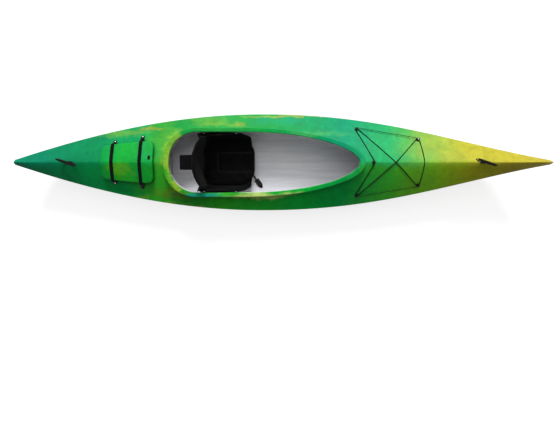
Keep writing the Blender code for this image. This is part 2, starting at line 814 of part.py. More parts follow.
def make_seat_pads():
    middle = SEAT_PAD_FORE - SEAT_PAD_LENGTH / 2

    def seat_place(u, v, side):
        """Crowned over the thighs, drawn in at the sides, sewn down along two channels."""
        drawn_in = 0.24 if u > 0 else 0.12
        x = middle + SEAT_PAD_LENGTH / 2 * u * (1 - 0.16 * v ** 4 - 0.02 * (1 - v * v) ** 2)
        y = SEAT_PAD_HALF * v * (1 - drawn_in * u ** 4 - 0.03 * (1 - u * u) ** 2)
        seam = pan_top(abs(y)) + 0.012
        if side == 0:
            return Vector((x, y, seam))
        fill = ((1 - u ** 6) * (1 - v ** 6)) ** 0.45
        if side < 0:
            return Vector((x, y, seam - (0.012 - 2 * GAP) * min(1.0, fill * 1.5)))
        crown = 0.7 + 0.3 * (1 - u * u) * (1 - v * v) + 0.16 * smooth_step(0.2, 0.9, u)
        channel = max(0.0, 1 - abs(abs(y) - SEAT_CHANNEL) / 0.012) * 0.006 * fill
        return Vector((x, y, seam + (SEAT_PAD_THICKNESS - 0.012) * crown * fill - channel))

    ends = both_ways([0.3, 0.6, 0.82, 0.94, 1.0])
    lines = both_ways([0.2, 0.34, 0.41, 0.48, 0.66, 0.84, 0.95, 1.0])
    to_object("seat_pad", pillow(ends, lines, seat_place), PAD_FABRIC)

    def hip_place(u, v, side):
        x = SEAT_AFT + 0.165 + 0.085 * u * (1 - 0.12 * v ** 4)
        z = SEAT_BASE + 0.160 + 0.042 * v * (1 - 0.12 * u ** 4)
        face = COCKPIT_HALF_WIDTH - SEAT_WALL - 3 * GAP
        fill = ((1 - u ** 6) * (1 - v ** 6)) ** 0.45
        depth = {0: 0.004, 1: 0.004 + 0.008 * fill, -1: 0.0}[side]
        return Vector((x, face - depth, z))

    hip = pillow(both_ways([0.45, 0.8, 1.0]), both_ways([0.5, 0.85, 1.0]), hip_place)
    placed("hip_pad_port", hip, Matrix(), PAD_FABRIC)
    placed("hip_pad_starboard", hip, mirrored(Matrix()), PAD_FABRIC)


def back_curve(y):
    """Plan curve of the backrest's after face, wrapping forward to its sides."""
    return BACK_AFT + BACK_WRAP * (y / BACK_HALF) ** 2


def make_backrest(bores):
    pivot_x, pivot_z = BACK_PIVOT
    count = 14
    rings = []
    for i in range(count + 1):
        u = 2 * i / count - 1
        y = BACK_HALF * u
        aft = back_curve(y)
        low = BACK_LOW + 0.035 * u ** 4
        top = BACK_TOP - 0.006 - 0.045 * abs(u) ** 5
        rings.append([Vector((aft, y, low)), Vector((aft + BACK_BOARD, y, low)),
                      Vector((aft + BACK_BOARD, y, top)), Vector((aft, y, top))])
    board = to_object("backrest_board", solid_of(rings), BLACK_PLASTIC)
    lug_y = LUG_SPACING / 2
    fore = back_curve(lug_y - LUG_WIDTH / 2) + BACK_BOARD * 0.6
    aft = pivot_x - 0.008
    low = pivot_z - 0.009
    top = BACK_LOW + 0.020
    lug = block((fore - aft, LUG_WIDTH, top - low))
    lugs = [(lug, shifted((fore + aft) / 2, side * lug_y, (top + low) / 2)) for side in (-1, 1)]
    boolean(board, merged("board_lugs", lugs, BLACK_PLASTIC, cutters), "UNION")
    boolean(board, bores, "DIFFERENCE")
    mid = (BACK_TOP + BACK_LOW) / 2
    half_height = (BACK_TOP - BACK_LOW) / 2

    def back_place(u, v, side):
        """Crowned lumbar pad with two sewn channels across it."""
        y = BACK_HALF * u * (1 - 0.10 * v ** 4)
        z = mid + half_height * v * (1 - 0.14 * u ** 4)
        face = back_curve(y) + BACK_BOARD + 4 * GAP
        fill = ((1 - u ** 6) * (1 - v ** 6)) ** 0.45
        if side == 0:
            return Vector((face + 0.008, y, z))
        if side < 0:
            return Vector((face + 0.008 * (1 - min(1.0, fill * 1.5)), y, z))
        crown = 0.75 + 0.25 * (1 - u * u) * (1 - v * v)
        channel = max(0.0, 1 - abs(abs(v) - 0.36) / 0.07) * 0.006 * fill
        return Vector((face + 0.008 + (BACK_PAD - 0.008) * crown * fill - channel, y, z))

    sides = both_ways([0.16, 0.34, 0.52, 0.7, 0.85, 0.95, 1.0])
    rows = both_ways([0.15, 0.29, 0.36, 0.43, 0.7, 0.88, 1.0])
    pad = to_object("backrest_pad", pillow(sides, rows, back_place), PAD_FABRIC)
    flap_mesh = block((FLAP_LENGTH, FLAP_WIDTH, FLAP_THICKNESS), 0.004, 2)
    flap_x = BACK_AFT - GAP - FLAP_LENGTH / 2
    flap = placed("backrest_rear_flap", flap_mesh, shifted(flap_x, 0, FLAP_HEIGHT), PAD_FABRIC)
    hinge_empty("backrest_axis", (pivot_x, 0, pivot_z), [board, pad, flap])


def make_back_straps():
    """Webbing from each side of the backrest forward to the seat's wings, with its slide buckle."""
    wing = COCKPIT_HALF_WIDTH - GAP - SEAT_WALL
    start = Vector((back_curve(BACK_HALF) + 0.010, BACK_HALF + 0.0045, 0.302))
    end = Vector((SEAT_FORE - 0.120, wing - WEBBING / 2 - 2 * GAP, 0.253))
    route = [start, start.lerp(end, 0.35), start.lerp(end, 0.7), end]
    port = ribbon(route, Vector((0.25, 0, 1)), 0.025, WEBBING)
    buckle = block((0.030, 0.004, 0.032), 0.001)
    middle = start.lerp(end, 0.5) - Vector((0, WEBBING / 2 + 0.002 + 2 * GAP, 0))
    pitch = Matrix.Rotation(atan2(start.z - end.z, end.x - start.x), 4, "Y")
    yaw = Matrix.Rotation(atan2(end.y - start.y, end.x - start.x), 4, "Z")
    place = Matrix.Translation(middle) @ yaw @ pitch
    for side, where in SIDES.items():
        placed("back_strap_" + side, port, where, WEBBING_BLACK)
        placed("back_strap_buckle_" + side, buckle, where @ place, BLACK_PLASTIC)
    head = turned([(0, 0.003), (BOLT_HEAD - 0.0015, 0.003), (BOLT_HEAD, 0.001), (BOLT_HEAD, 0), (0, 0)],
                  12)
    for end, x in (("aft", SEAT_AFT + 0.070), ("fore", SEAT_FORE - 0.105)):
        face = pan_half(x + BOLT_HEAD) - SEAT_WALL - 2 * GAP
        bolt = shifted(x, face, WING_HEIGHT - 0.018) @ Matrix.Rotation(pi / 2, 4, "X")
        for side, where in SIDES.items():
            placed("seat_bolt_" + end + "_" + side, head, where @ bolt, STEEL)


def make_seat_strap():
    """Short adjusting strap on the floor, from the pan's front edge to a buckle with a spare end."""
    yaw = Matrix.Rotation(atan2(-0.050, 0.037), 4, "Z")
    origin = Vector((*STRAP_BUCKLE_AT, SHEER_HEIGHT))
    place = seat_on(inner_skin, origin, DOWN, 0.032, 0.032) @ yaw
    half = 0.031
    buckle = block((2 * half, 0.038, 0.010), 0.002)
    placed("seat_strap_buckle", buckle, place @ shifted(0, 0, 0.005), BLACK_PLASTIC)
    mouth = place @ Vector((-half - GAP, 0, 0.005))
    lead = place @ Vector((-half - 0.012, 0, 0.005))
    start = Vector((SEAT_FORE + 0.001, -0.098, 0.032))
    route = [start, start + Vector((0.012, -0.010, -0.009)), lead, mouth]
    to_object("seat_strap", ribbon(route, Vector((0.8, 0.6, 0)), 0.012, WEBBING), WEBBING_BLACK)
    spare = [place @ Vector((half + GAP, 0, 0.004)), place @ Vector((half + 0.016, 0, 0.004))]
    end = ribbon(spare, place.to_3x3() @ Vector((0, 1, 0)), 0.020, WEBBING)
    to_object("seat_strap_end", end, WEBBING_BLACK)


def make_foot_braces():
    """A rail on each inner side, a pedal that slides on it and the trigger that frees the pedal."""
    width, depth = BRACE_RAIL
    origin = Vector((BRACE_CENTRE, 0, BRACE_HEIGHT))
    port = seat_on(inner_skin, origin, Vector((0, 1, 0)), BRACE_LENGTH / 2, width / 2)
    rail = block((BRACE_LENGTH, width, depth), 0.0015)
    hole_at = BRACE_LENGTH / 2 - 0.014
    screw = rod(RAIL_SCREW_HEAD, depth / 2 + 2 * RAIL_SCREW_PROUD, 12)
    base = depth + GAP + CARRIAGE[2] / 2
    plate_start = depth + GAP + 0.009
    length, height, thick = PEDAL_SIZE
    carriage = block(CARRIAGE, 0.001)
    plate = block((thick, height, length), 0.003)
    plate_middle = height / 2 + 0.001 - CARRIAGE[1] / 2
    trigger = block((TRIGGER_LENGTH, 0.005, CARRIAGE[2] - 0.002), 0.001)
    trigger_y = -CARRIAGE[1] / 2 - 2 * GAP - 0.0025
    for side, where in SIDES.items():
        where = where @ port
        made = placed("foot_rail_" + side, rail, where @ shifted(0, 0, depth / 2), BLACK_PLASTIC)
        heads = [(screw, where @ shifted(end * hole_at, 0, depth * 0.75)) for end in (-1, 1)]
        boolean(made, merged("rail_screws_" + side, heads, STEEL, cutters), "UNION")
        pedal = placed("foot_pedal_" + side, carriage, where @ shifted(0, 0, base), BLACK_PLASTIC)
        face = where @ shifted(0, plate_middle, plate_start + length / 2)
        boolean(pedal, merged("pedal_plate_" + side, [(plate, face)], BLACK_PLASTIC, cutters), "UNION")
        lever_place = where @ shifted(-0.004, trigger_y, base)
        lever = placed("foot_trigger_" + side, trigger, lever_place, BLACK_PLASTIC)
        hinge_empty("foot_pedal_slide_" + side, where.translation, [pedal])
        hinge_empty("foot_trigger_axis_" + side, where @ Vector((0.011, trigger_y, base)), [lever])


def scaled_loop(loop, share):
    return [(mix(LID_CENTRE, x, share), y * share) for x, y in loop]


def lid_ring(loop, drop):
    return [Vector((x, y, lid_top(y) - drop)) for x, y in loop]


def anchor_place(x, y):
    return seat_on(deck_skin, Vector((x, y, 1)), DOWN, ANCHOR_PLATE[0] / 2, ANCHOR_PLATE[1] / 2)


def strap_over_lid(x):
    """Centreline of a strap across the lid, in (y, z), from its port edge to its starboard edge."""
    lift = WEBBING / 2 + 2 * GAP
    edge = max(lid_edge(x - BUCKLE_WIDTH / 2), lid_edge(x + BUCKLE_WIDTH / 2))
    shoulder = edge - 0.006
    half = [(edge + lift, lid_top(edge) - 0.009), (edge + lift - 0.0002, lid_top(edge) - 0.0035),
            (shoulder + 0.0008, lid_top(shoulder) + lift + 0.0002)]
    steps = 6
    half += [(shoulder * (1 - i / steps), lid_top(shoulder * (1 - i / steps)) + lift + 0.0001)
             for i in range(1, steps)]
    return half + [(0.0, lid_top(0.0) + lift + 0.0001)] + [(-y, z) for y, z in reversed(half)]


def make_hatch():
    loop = hatch_loop()
    inside = outset(loop, -LID_WALL)
    seat = outset(loop, RIM_INNER - 0.002)
    shoulder = outset(loop, -0.006)
    rings = [lid_ring(scaled_loop(loop, share), 0.0) for share in (0.12, 0.4, 0.68, 0.88)]
    rings += [lid_ring(shoulder, 0.0), lid_ring(loop, 0.004), lid_ring(loop, LID_SKIRT)]
    rings += [lid_ring(inside, LID_SKIRT), lid_ring(inside, LID_WALL), lid_ring(seat, LID_WALL)]
    rings += [lid_ring(scaled_loop(loop, share), LID_WALL) for share in (0.76, 0.44, 0.12)]
    lid_mesh = solid_of(rings)
    lid_skin = BVHTree.FromBMesh(lid_mesh)
    movers = [to_object("hatch_lid", lid_mesh, HULL_PLASTIC)]

    def gasket_profile(x, y):
        low = rim_top(y) + 2 * GAP
        return [(RIM_INNER + 0.0005, low), (RIM_INNER + 0.0005, low + GASKET),
                (RIM_OUTER - 0.0005, low + GASKET), (RIM_OUTER - 0.0005, low)]

    movers.append(to_object("hatch_gasket", ring_sweep(loop, gasket_profile), RUBBER_BLACK))
    length, width, tab_thick = PULL_TAB
    tab_at = Vector((HATCH_FORE - PULL_TAB_BACK, PULL_TAB_Y, 1))
    tab_place = seat_on(lid_skin, tab_at, DOWN, length / 2, width / 2) @ shifted(0, 0, tab_thick / 2)
    movers.append(placed("hatch_pull_tab", block(PULL_TAB, 0.001), tab_place, WEBBING_BLACK))
    size_y, thick = ANCHOR_PLATE[1:]
    anchors = {name: anchor_place(x, y) for name, (x, y) in HATCH_STRAPS.items()}
    over_plate = Vector((0, ROOT_INSET - size_y / 2, thick + ROOT_RISE))
    roots = {name: place @ over_plate for name, place in anchors.items()}
    hinge_line = roots["front"] - roots["rear"]
    plate = block(ANCHOR_PLATE, 0.0008)
    screw = rod(SCREW_HEAD, 2 * SCREW_PROUD, 12)
    for name, root in roots.items():
        x = root.x
        for side, where in SIDES.items():
            place = where @ anchors[name]
            anchor = placed("hatch_anchor_" + name + "_" + side, plate, place @ shifted(0, 0, thick / 2),
                            BLACK_PLASTIC)
            head = merged("anchor_screw_" + name + "_" + side, [(screw, place @ shifted(0, 0, thick))],
                          STEEL, cutters)
            boolean(anchor, head, "UNION")
        over = [Vector((x, y, z)) for y, z in strap_over_lid(x)]
        foot = Vector((x, -root.y, root.z))
        run = foot - over[-1]
        down = run.normalized()
        spare = (run.length - BUCKLE_MALE - BUCKLE_FEMALE - GAP) / 2
        male_start = over[-1] + down * spare
        female_start = male_start + down * (BUCKLE_MALE + GAP)
        along = Vector((1, 0, 0))
        strap = ribbon([root] + over + [male_start - down * GAP], along, HATCH_WEBBING_WIDTH, WEBBING,
                       start_across=hinge_line)
        movers.append(to_object("hatch_strap_" + name, strap, WEBBING_BLACK))
        out = Vector((0, down.z, -down.y))
        turn = Matrix((along, out, down)).transposed().to_4x4()
        outward = out * (0.0015 if out.y < 0 else -0.0015)
        halves = (("male", male_start, BUCKLE_MALE), ("female", female_start, BUCKLE_FEMALE))
        for kind, start, length in halves:
            half = block((BUCKLE_WIDTH, BUCKLE_THICKNESS, length), 0.001)
            place = Matrix.Translation(start + down * length / 2 + outward) @ turn
            made = placed("hatch_buckle_" + kind + "_" + name, half, place, BLACK_PLASTIC)
            if kind == "male":
                movers.append(made)
        tail = female_start + down * (BUCKLE_FEMALE + GAP)
        tab_end = foot - down * 0.0004
        to_object("hatch_strap_tab_" + name, ribbon([tail, tab_end], along, HATCH_WEBBING_WIDTH, WEBBING),
                  WEBBING_BLACK)
    hinge_empty("hatch_axis", roots["rear"], movers)


def handle_place(x):
    """Place on the deck's ridge: +X along the ridge, +Z off the deck."""
    return seat_on(deck_skin, Vector((x, 0, 1)), DOWN, FAIRLEAD[0] / 2, FAIRLEAD[1] / 2, upright=True)


def bezier(a, b, c, d, steps):
    points = []
    for i in range(steps + 1):
        t = i / steps
        s = 1 - t
        points.append(a * s ** 3 + b * 3 * s * s * t + c * 3 * s * t * t + d * t ** 3)
    return points


def make_handle(name, x):
    """A turned grip threaded on a cord whose two ends go into the deck through bushings."""
    place = handle_place(x)
    bore = HANDLE_CORD / 2 + 2 * GAP
    plate_thick = FAIRLEAD[2]
    plate_place = place @ shifted(0, 0, plate_thick / 2)
    fairlead = placed(name + "_handle_fairlead", block(FAIRLEAD, 0.0008), plate_place, BLACK_PLASTIC)
    boss = rod(BUSHING_RADIUS, BUSHING_HEIGHT - plate_thick / 2, 14)
    boss_middle = BUSHING_HEIGHT / 2 + plate_thick / 4
    mouth = rod(BUSHING_MOUTH, BUSHING_HEIGHT, 10)
    ends = [shifted(side * BUSHING_SPACING / 2, 0, 0) for side in (-1, 1)]
    bosses = [(boss, place @ end @ shifted(0, 0, boss_middle)) for end in ends]
    mouths = [(mouth, place @ end @ shifted(0, 0, BUSHING_HEIGHT)) for end in ends]
    boolean(fairlead, merged(name + "_bosses", bosses, BLACK_PLASTIC, cutters), "UNION")
    boolean(fairlead, merged(name + "_mouths", mouths, BLACK_PLASTIC, cutters), "DIFFERENCE")
    half = GRIP_LENGTH / 2
    upper = [(bore, half), (GRIP_RADIUS - 0.003, half), (GRIP_RADIUS - 0.0005, half - 0.004),
             (GRIP_RADIUS - 0.0015, half - 0.012), (GRIP_RADIUS, half * 0.45)]
    profile = upper + [(radius, -z) for radius, z in reversed(upper)]
    yaw = Matrix.Rotation(radians(GRIP_YAW), 4, "Z")
    grip_place = place @ shifted(0, 0, GRIP_HEIGHT) @ yaw @ Matrix.Rotation(pi / 2, 4, "Y")
    grip = placed(name + "_handle_grip", turned(profile, 14, bored=True), grip_place, RUBBER_BLACK)
    axis_height = BUSHING_HEIGHT + GAP + HANDLE_CORD / 2
    route = []
    for side in (-1, 1):
        foot = Vector((side * BUSHING_SPACING / 2, 0, axis_height))
        end = yaw @ Vector((side * (half + 0.001), 0, 0)) + Vector((0, 0, GRIP_HEIGHT))
        out = yaw @ Vector((side * 0.040, 0, 0))
        leg = bezier(foot, foot + Vector((side * 0.030, 0, 0.004)), end + out, end, 9)
        route.append(leg)
    local = route[0] + route[1][::-1]
    rounding = [(BUSHING_HEIGHT + GAP, 0.3), (BUSHING_HEIGHT + GAP + 0.0006, 0.68),
                (BUSHING_HEIGHT + GAP + 0.0017, 0.92)]
    first = [(Vector((-BUSHING_SPACING / 2, 0, z)), share) for z, share in rounding]
    last = [(Vector((BUSHING_SPACING / 2, 0, z)), share) for z, share in rounding[::-1]]
    stops = first + [(point, 1.0) for point in local] + last
    loop = cord(name + "_handle_cord", [place @ point for point, _ in stops], HANDLE_CORD)
    for target, (_, share) in zip(loop.data.splines[0].points, stops):
        target.radius = share
    hinge_empty(name + "_handle_axis", place @ Vector((0, 0, axis_height)), [grip, loop])
    return place, axis_height


def button_place(x, y):
    return seat_on(deck_skin, Vector((x, y, 1)), DOWN, BUTTON_RADIUS, BUTTON_RADIUS, upright=y == 0)


def taut(start, end, radius, crossing=None):
    """A cord pulled tight from start to end over the deck; crossing raises it over another cord."""
    steps = 80
    wanted = []
    for i in range(steps + 1):
        share = i / steps
        point = start.lerp(end, share)
        button_end = min((start, end), key=lambda stop: (point - stop).length)
        if 0 < i < steps:
            x = point.x + (BUNGEE_BOW * 4 * share * (1 - share) if crossing == "bowed" else 0.0)
            height = deck_z(x, point.y) + radius + 3 * GAP
            if (point - button_end).length < BUTTON_RADIUS:
                height = max(height, button_end.z)
            if isinstance(crossing, Vector) and (point - crossing).xy.length < 0.008:
                height += 2 * radius + GAP
            point = Vector((x, point.y, height))
        wanted.append((share, point))
    hull = []
    for share, point in wanted:
        while len(hull) > 1:
            (s0, p0), (s1, p1) = hull[-2], hull[-1]
            if (p1.z - p0.z) * (share - s0) > (point.z - p0.z) * (s1 - s0):
                break
            hull.pop()
        hull.append((share, point))
    return thinned([point for _, point in hull], GAP)


def thinned(points, tolerance):
    """The fewest of the points that keep the line within tolerance of them all."""
    first, last = points[0], points[-1]
    run = (last - first).normalized()
    away = [((point - first) - run * (point - first).dot(run)).length for point in points]
    far = max(range(len(points)), key=away.__getitem__)
    if away[far] <= tolerance:
        return [first, last]
    return thinned(points[:far + 1], tolerance)[:-1] + thinned(points[far:], tolerance)


def wrap(place, radius, height, turn, start_heading, end_heading):
    """Points round a button from one heading to another, turning left for +1 and right for -1."""
    sweep = (end_heading - start_heading) * turn % (2 * pi)
    steps = max(3, round(sweep / 0.55))
    points = []
    for i in range(steps + 1):
        heading = start_heading + turn * sweep * i / steps
        points.append(place @ Vector((turn * radius * sin(heading), -turn * radius * cos(heading), height)))
    return points


def heading_between(first, second, radius):
    """Heading of the straight run between two (x, y, turn) buttons that a cord goes round."""
    run_x, run_y = second[0] - first[0], second[1] - first[1]
    return atan2(run_y, run_x) - asin((second[2] - first[2]) * radius / hypot(run_x, run_y))


def make_rigging():
    """Button bollards, the bungee laced over the foredeck and a deck line along each side."""
    aft_x, aft_y = DECK_BUTTONS["aft"]
    fore_x, fore_y = DECK_BUTTONS["fore"]
    mid_x, mid_y = DECK_BUTTONS["middle"]
    places = {}
    for x, y in ((aft_x, aft_y), (fore_x, fore_y), (mid_x, mid_y)):
        places[x, y] = button_place(x, y)
        places[x, -y] = mirrored(places[x, y]) if y else places[x, y]
    for x, y in list(places):
        if y < 0:
            places[x, y] = places[x, y] @ Matrix.Scale(-1, 4, (0, 1, 0))
    top = BUTTON_HEIGHT
    button = turned([(0, top + 0.0018), (SCREW_HEAD - 0.001, top + 0.0018), (SCREW_HEAD, top),
                     (BUTTON_RADIUS - 0.001, top), (BUTTON_RADIUS, top - 0.002), (BUTTON_CORE, top - 0.003),
                     (BUTTON_CORE, BUTTON_FLANGE), (BUTTON_RADIUS, BUTTON_FLANGE - 0.0008),
                     (BUTTON_RADIUS, 0), (0, 0)], 12)
    for (x, y), place in places.items():
        row = "fore" if x == fore_x else "aft" if x == aft_x else "middle"
        side = "" if y == 0 else "_port" if y > 0 else "_starboard"
        placed("deck_button_" + row + side, button, place, BLACK_PLASTIC)
    radius = BUTTON_CORE + BUNGEE / 2 + GAP
    height = BUTTON_FLANGE + BUNGEE / 2 + GAP
    stops = [(fore_x, -fore_y, -1), (aft_x, aft_y, 1), (mid_x, mid_y, -1), (aft_x, -aft_y, 1),
             (fore_x, fore_y, -1)]
    count = len(stops)
    headings = [heading_between(stops[i], stops[(i + 1) % count], radius) for i in range(count)]
    arcs = []
    for i, (x, y, turn) in enumerate(stops):
        arcs.append(wrap(places[x, y], radius, height, turn, headings[i - 1], headings[i]))
    cross_share = fore_y / (fore_y + aft_y)
    crossing = Vector((mix(fore_x, aft_x, cross_share), 0.0, 0.0))
    lifts = [None, None, None, crossing, "bowed"]
    points = []
    for i in range(count):
        points += arcs[i][:-1]
        points += taut(arcs[i][-1], arcs[(i + 1) % count][0], BUNGEE / 2, lifts[i])[:-1]
    cord("deck_bungee", points, BUNGEE, closed=True)
    radius = BUTTON_CORE + DECK_LINE / 2 + GAP
    height += BUNGEE / 2 + DECK_LINE / 2 + GAP
    for side, sign in (("port", 1), ("starboard", -1)):
        first = (aft_x, sign * aft_y, -sign)
        second = (fore_x, sign * fore_y, -sign)
        heading = heading_between(first, second, radius)
        start = wrap(places[first[:2]], radius, height, -sign, heading + sign * 1.5 * pi, heading)
        finish = wrap(places[second[:2]], radius, height, -sign, heading, heading - sign * 1.5 * pi)
        run = taut(start[-1], finish[0], DECK_LINE / 2)
        cord("deck_line_" + side, start[:-1] + run + finish[1:], DECK_LINE)


make_hull()
make_foam()
make_seat()
make_back_straps()
make_seat_strap()
make_foot_braces()
make_hatch()
for handle, handle_x in HANDLES.items():
    make_handle(handle, handle_x)
make_rigging()
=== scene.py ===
import json
import math

import bmesh
import bpy
from mathutils import Matrix, Vector, noise
from mathutils.bvhtree import BVHTree

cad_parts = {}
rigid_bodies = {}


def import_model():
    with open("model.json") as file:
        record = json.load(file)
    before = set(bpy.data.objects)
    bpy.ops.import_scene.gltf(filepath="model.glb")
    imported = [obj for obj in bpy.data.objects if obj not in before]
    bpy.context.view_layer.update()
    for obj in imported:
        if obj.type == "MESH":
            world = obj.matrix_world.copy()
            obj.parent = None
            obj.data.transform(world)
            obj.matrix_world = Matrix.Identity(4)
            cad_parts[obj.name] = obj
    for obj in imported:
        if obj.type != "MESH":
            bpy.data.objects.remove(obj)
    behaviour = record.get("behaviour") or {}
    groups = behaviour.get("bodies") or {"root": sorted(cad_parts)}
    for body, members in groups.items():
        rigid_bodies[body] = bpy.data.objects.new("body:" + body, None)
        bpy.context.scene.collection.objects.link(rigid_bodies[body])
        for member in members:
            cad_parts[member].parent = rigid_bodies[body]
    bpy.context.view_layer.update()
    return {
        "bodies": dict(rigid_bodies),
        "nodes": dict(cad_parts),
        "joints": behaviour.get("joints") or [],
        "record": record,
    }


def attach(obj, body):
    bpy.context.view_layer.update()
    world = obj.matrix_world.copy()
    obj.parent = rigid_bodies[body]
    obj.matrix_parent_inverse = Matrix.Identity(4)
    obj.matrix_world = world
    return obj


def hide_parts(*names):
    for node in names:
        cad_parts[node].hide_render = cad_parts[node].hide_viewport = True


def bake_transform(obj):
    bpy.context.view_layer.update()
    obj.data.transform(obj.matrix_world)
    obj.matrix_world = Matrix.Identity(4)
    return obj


# Looks of a touring kayak: +X runs to the bow, +Y to port and +Z up, in metres.
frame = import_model()
nodes = frame["nodes"]
scene = bpy.context.scene
print("frame loaded:", len(nodes), "nodes")

photo = {
    "width": 560,           # pixels of the picture that the camera matches
    "rows": 448,
    "focalPixels": 417.3,
    "height": 3.27,         # metres above the floor
    "midColumn": 278.9,     # where the middle of the boat lies in the picture
    "midRow": 162.3,
}


def makeCamera(p):
    data = bpy.data.cameras.new("topCamera")
    data.sensor_width = 36.0
    data.lens = p["focalPixels"] / p["width"] * data.sensor_width
    data.shift_x = -(p["midColumn"] - p["width"] / 2) / p["width"]
    data.shift_y = -(p["rows"] / 2 - p["midRow"]) / p["width"]
    data.clip_end = 50.0
    camera = bpy.data.objects.new("topCamera", data)
    camera.location = (0.0, 0.0, p["height"])
    scene.collection.objects.link(camera)
    scene.camera = camera


def linear(hexColour):
    # sRGB hex to the linear colour that the shaders take
    parts = [int(hexColour[i:i + 2], 16) / 255 for i in (1, 3, 5)]
    return [v / 12.92 if v <= 0.04045 else ((v + 0.055) / 1.055) ** 2.4 for v in parts] + [1.0]


def addNode(tree, kind, inputs=None, stops=(), **settings):
    # one node with its settings, its links or values, and a ramp's stops
    node = tree.nodes.new("ShaderNode" + kind)
    for name, value in settings.items():
        setattr(node, name, value)
    for socket, value in (inputs or {}).items():
        if isinstance(value, bpy.types.NodeSocket):
            tree.links.new(value, node.inputs[socket])
        else:
            node.inputs[socket].default_value = value
    for i, (place, colour) in enumerate(stops):
        element = node.color_ramp.elements[i] if i < 2 else node.color_ramp.elements.new(place)
        element.position = place
        element.color = colour if isinstance(colour, tuple) else linear(colour)
    return node


def newMaterial(name, values):
    made = bpy.data.materials.new(name)
    made.use_nodes = True
    shader = made.node_tree.nodes["Principled BSDF"]
    for socket, value in values.items():
        shader.inputs[socket].default_value = value
    return made, made.node_tree, shader


light = {
    "keyStrength": 2.65,
    "keyElevation": 33.0,
    "keyAngle": 18.0,       # degrees across: a softbox, so shadows are soft
    "topStrength": 0.88,
    "topElevation": 58.0,
    "topAngle": 50.0,
    "ambient": 0.12,
    "floorColour": "#8C8C8C",
    "floorGlow": 0.80,      # what the camera sees of the floor without any lamp
    "floorShare": 0.42,
    "floorSize": 14.0,
    "floorDrop": 0.0006,
}


def makeLight(p):
    for name in ("key", "top"):
        elevation = p[name + "Elevation"]
        data = bpy.data.lights.new(name + "Light", "SUN")
        data.energy = p[name + "Strength"]
        data.angle = math.radians(p[name + "Angle"])
        lamp = bpy.data.objects.new(name + "Light", data)
        lamp.rotation_euler = (math.radians(elevation - 90.0), 0.0, 0.0)
        scene.collection.objects.link(lamp)
    world = bpy.data.worlds.new("studio")
    scene.world = world
    world.use_nodes = True
    tree = world.node_tree
    seen = seenDirectly(tree)
    glow = addNode(tree, "Mix", {0: seen, 2: p["ambient"], 3: 1.0}, data_type="FLOAT")
    background = tree.nodes["Background"]
    background.inputs["Color"].default_value = (1.0, 1.0, 1.0, 1.0)
    tree.links.new(glow.outputs[0], background.inputs["Strength"])


def seenDirectly(tree):
    # 1 for what the camera sees, straight, in a gloss or through glass
    path = addNode(tree, "LightPath")
    total = addNode(tree, "Math", {0: path.outputs["Is Camera Ray"], 1: path.outputs["Is Glossy Ray"]},
                    operation="MAXIMUM")
    return addNode(tree, "Math", {0: total.outputs[0], 1: path.outputs["Is Transmission Ray"]},
                   operation="MAXIMUM").outputs[0]


def makeFloor(p):
    made, tree, shader = newMaterial("paintedStudioFloor", {"Roughness": 0.9, "Specular IOR Level": 0.1})
    shader.inputs["Base Color"].default_value = linear(p["floorColour"])
    seen = seenDirectly(tree)
    dull = addNode(tree, "BsdfDiffuse", {"Color": (p["floorShare"],) * 3 + (1.0,)})
    glow = addNode(tree, "Emission", {"Color": (1.0, 1.0, 1.0, 1.0), "Strength": p["floorGlow"]})
    shown = addNode(tree, "AddShader", {0: dull.outputs[0], 1: glow.outputs[0]})
    both = addNode(tree, "MixShader", {0: seen, 1: shader.outputs[0], 2: shown.outputs[0]})
    tree.links.new(both.outputs[0], tree.nodes["Material Output"].inputs["Surface"])
    mesh = bmesh.new()
    bmesh.ops.create_grid(mesh, x_segments=1, y_segments=1, size=p["floorSize"] / 2)
    bmesh.ops.translate(mesh, vec=(0.0, 0.0, -p["floorDrop"]), verts=mesh.verts)
    data = bpy.data.meshes.new("studioFloor")
    mesh.to_mesh(data)
    mesh.free()
    data.materials.append(made)
    floor = bpy.data.objects.new("studioFloor", data)
    scene.collection.objects.link(floor)


makeCamera(photo)
makeLight(light)
makeFloor(light)
scene.view_settings.view_transform = "Standard"
print("camera, light and floor made")


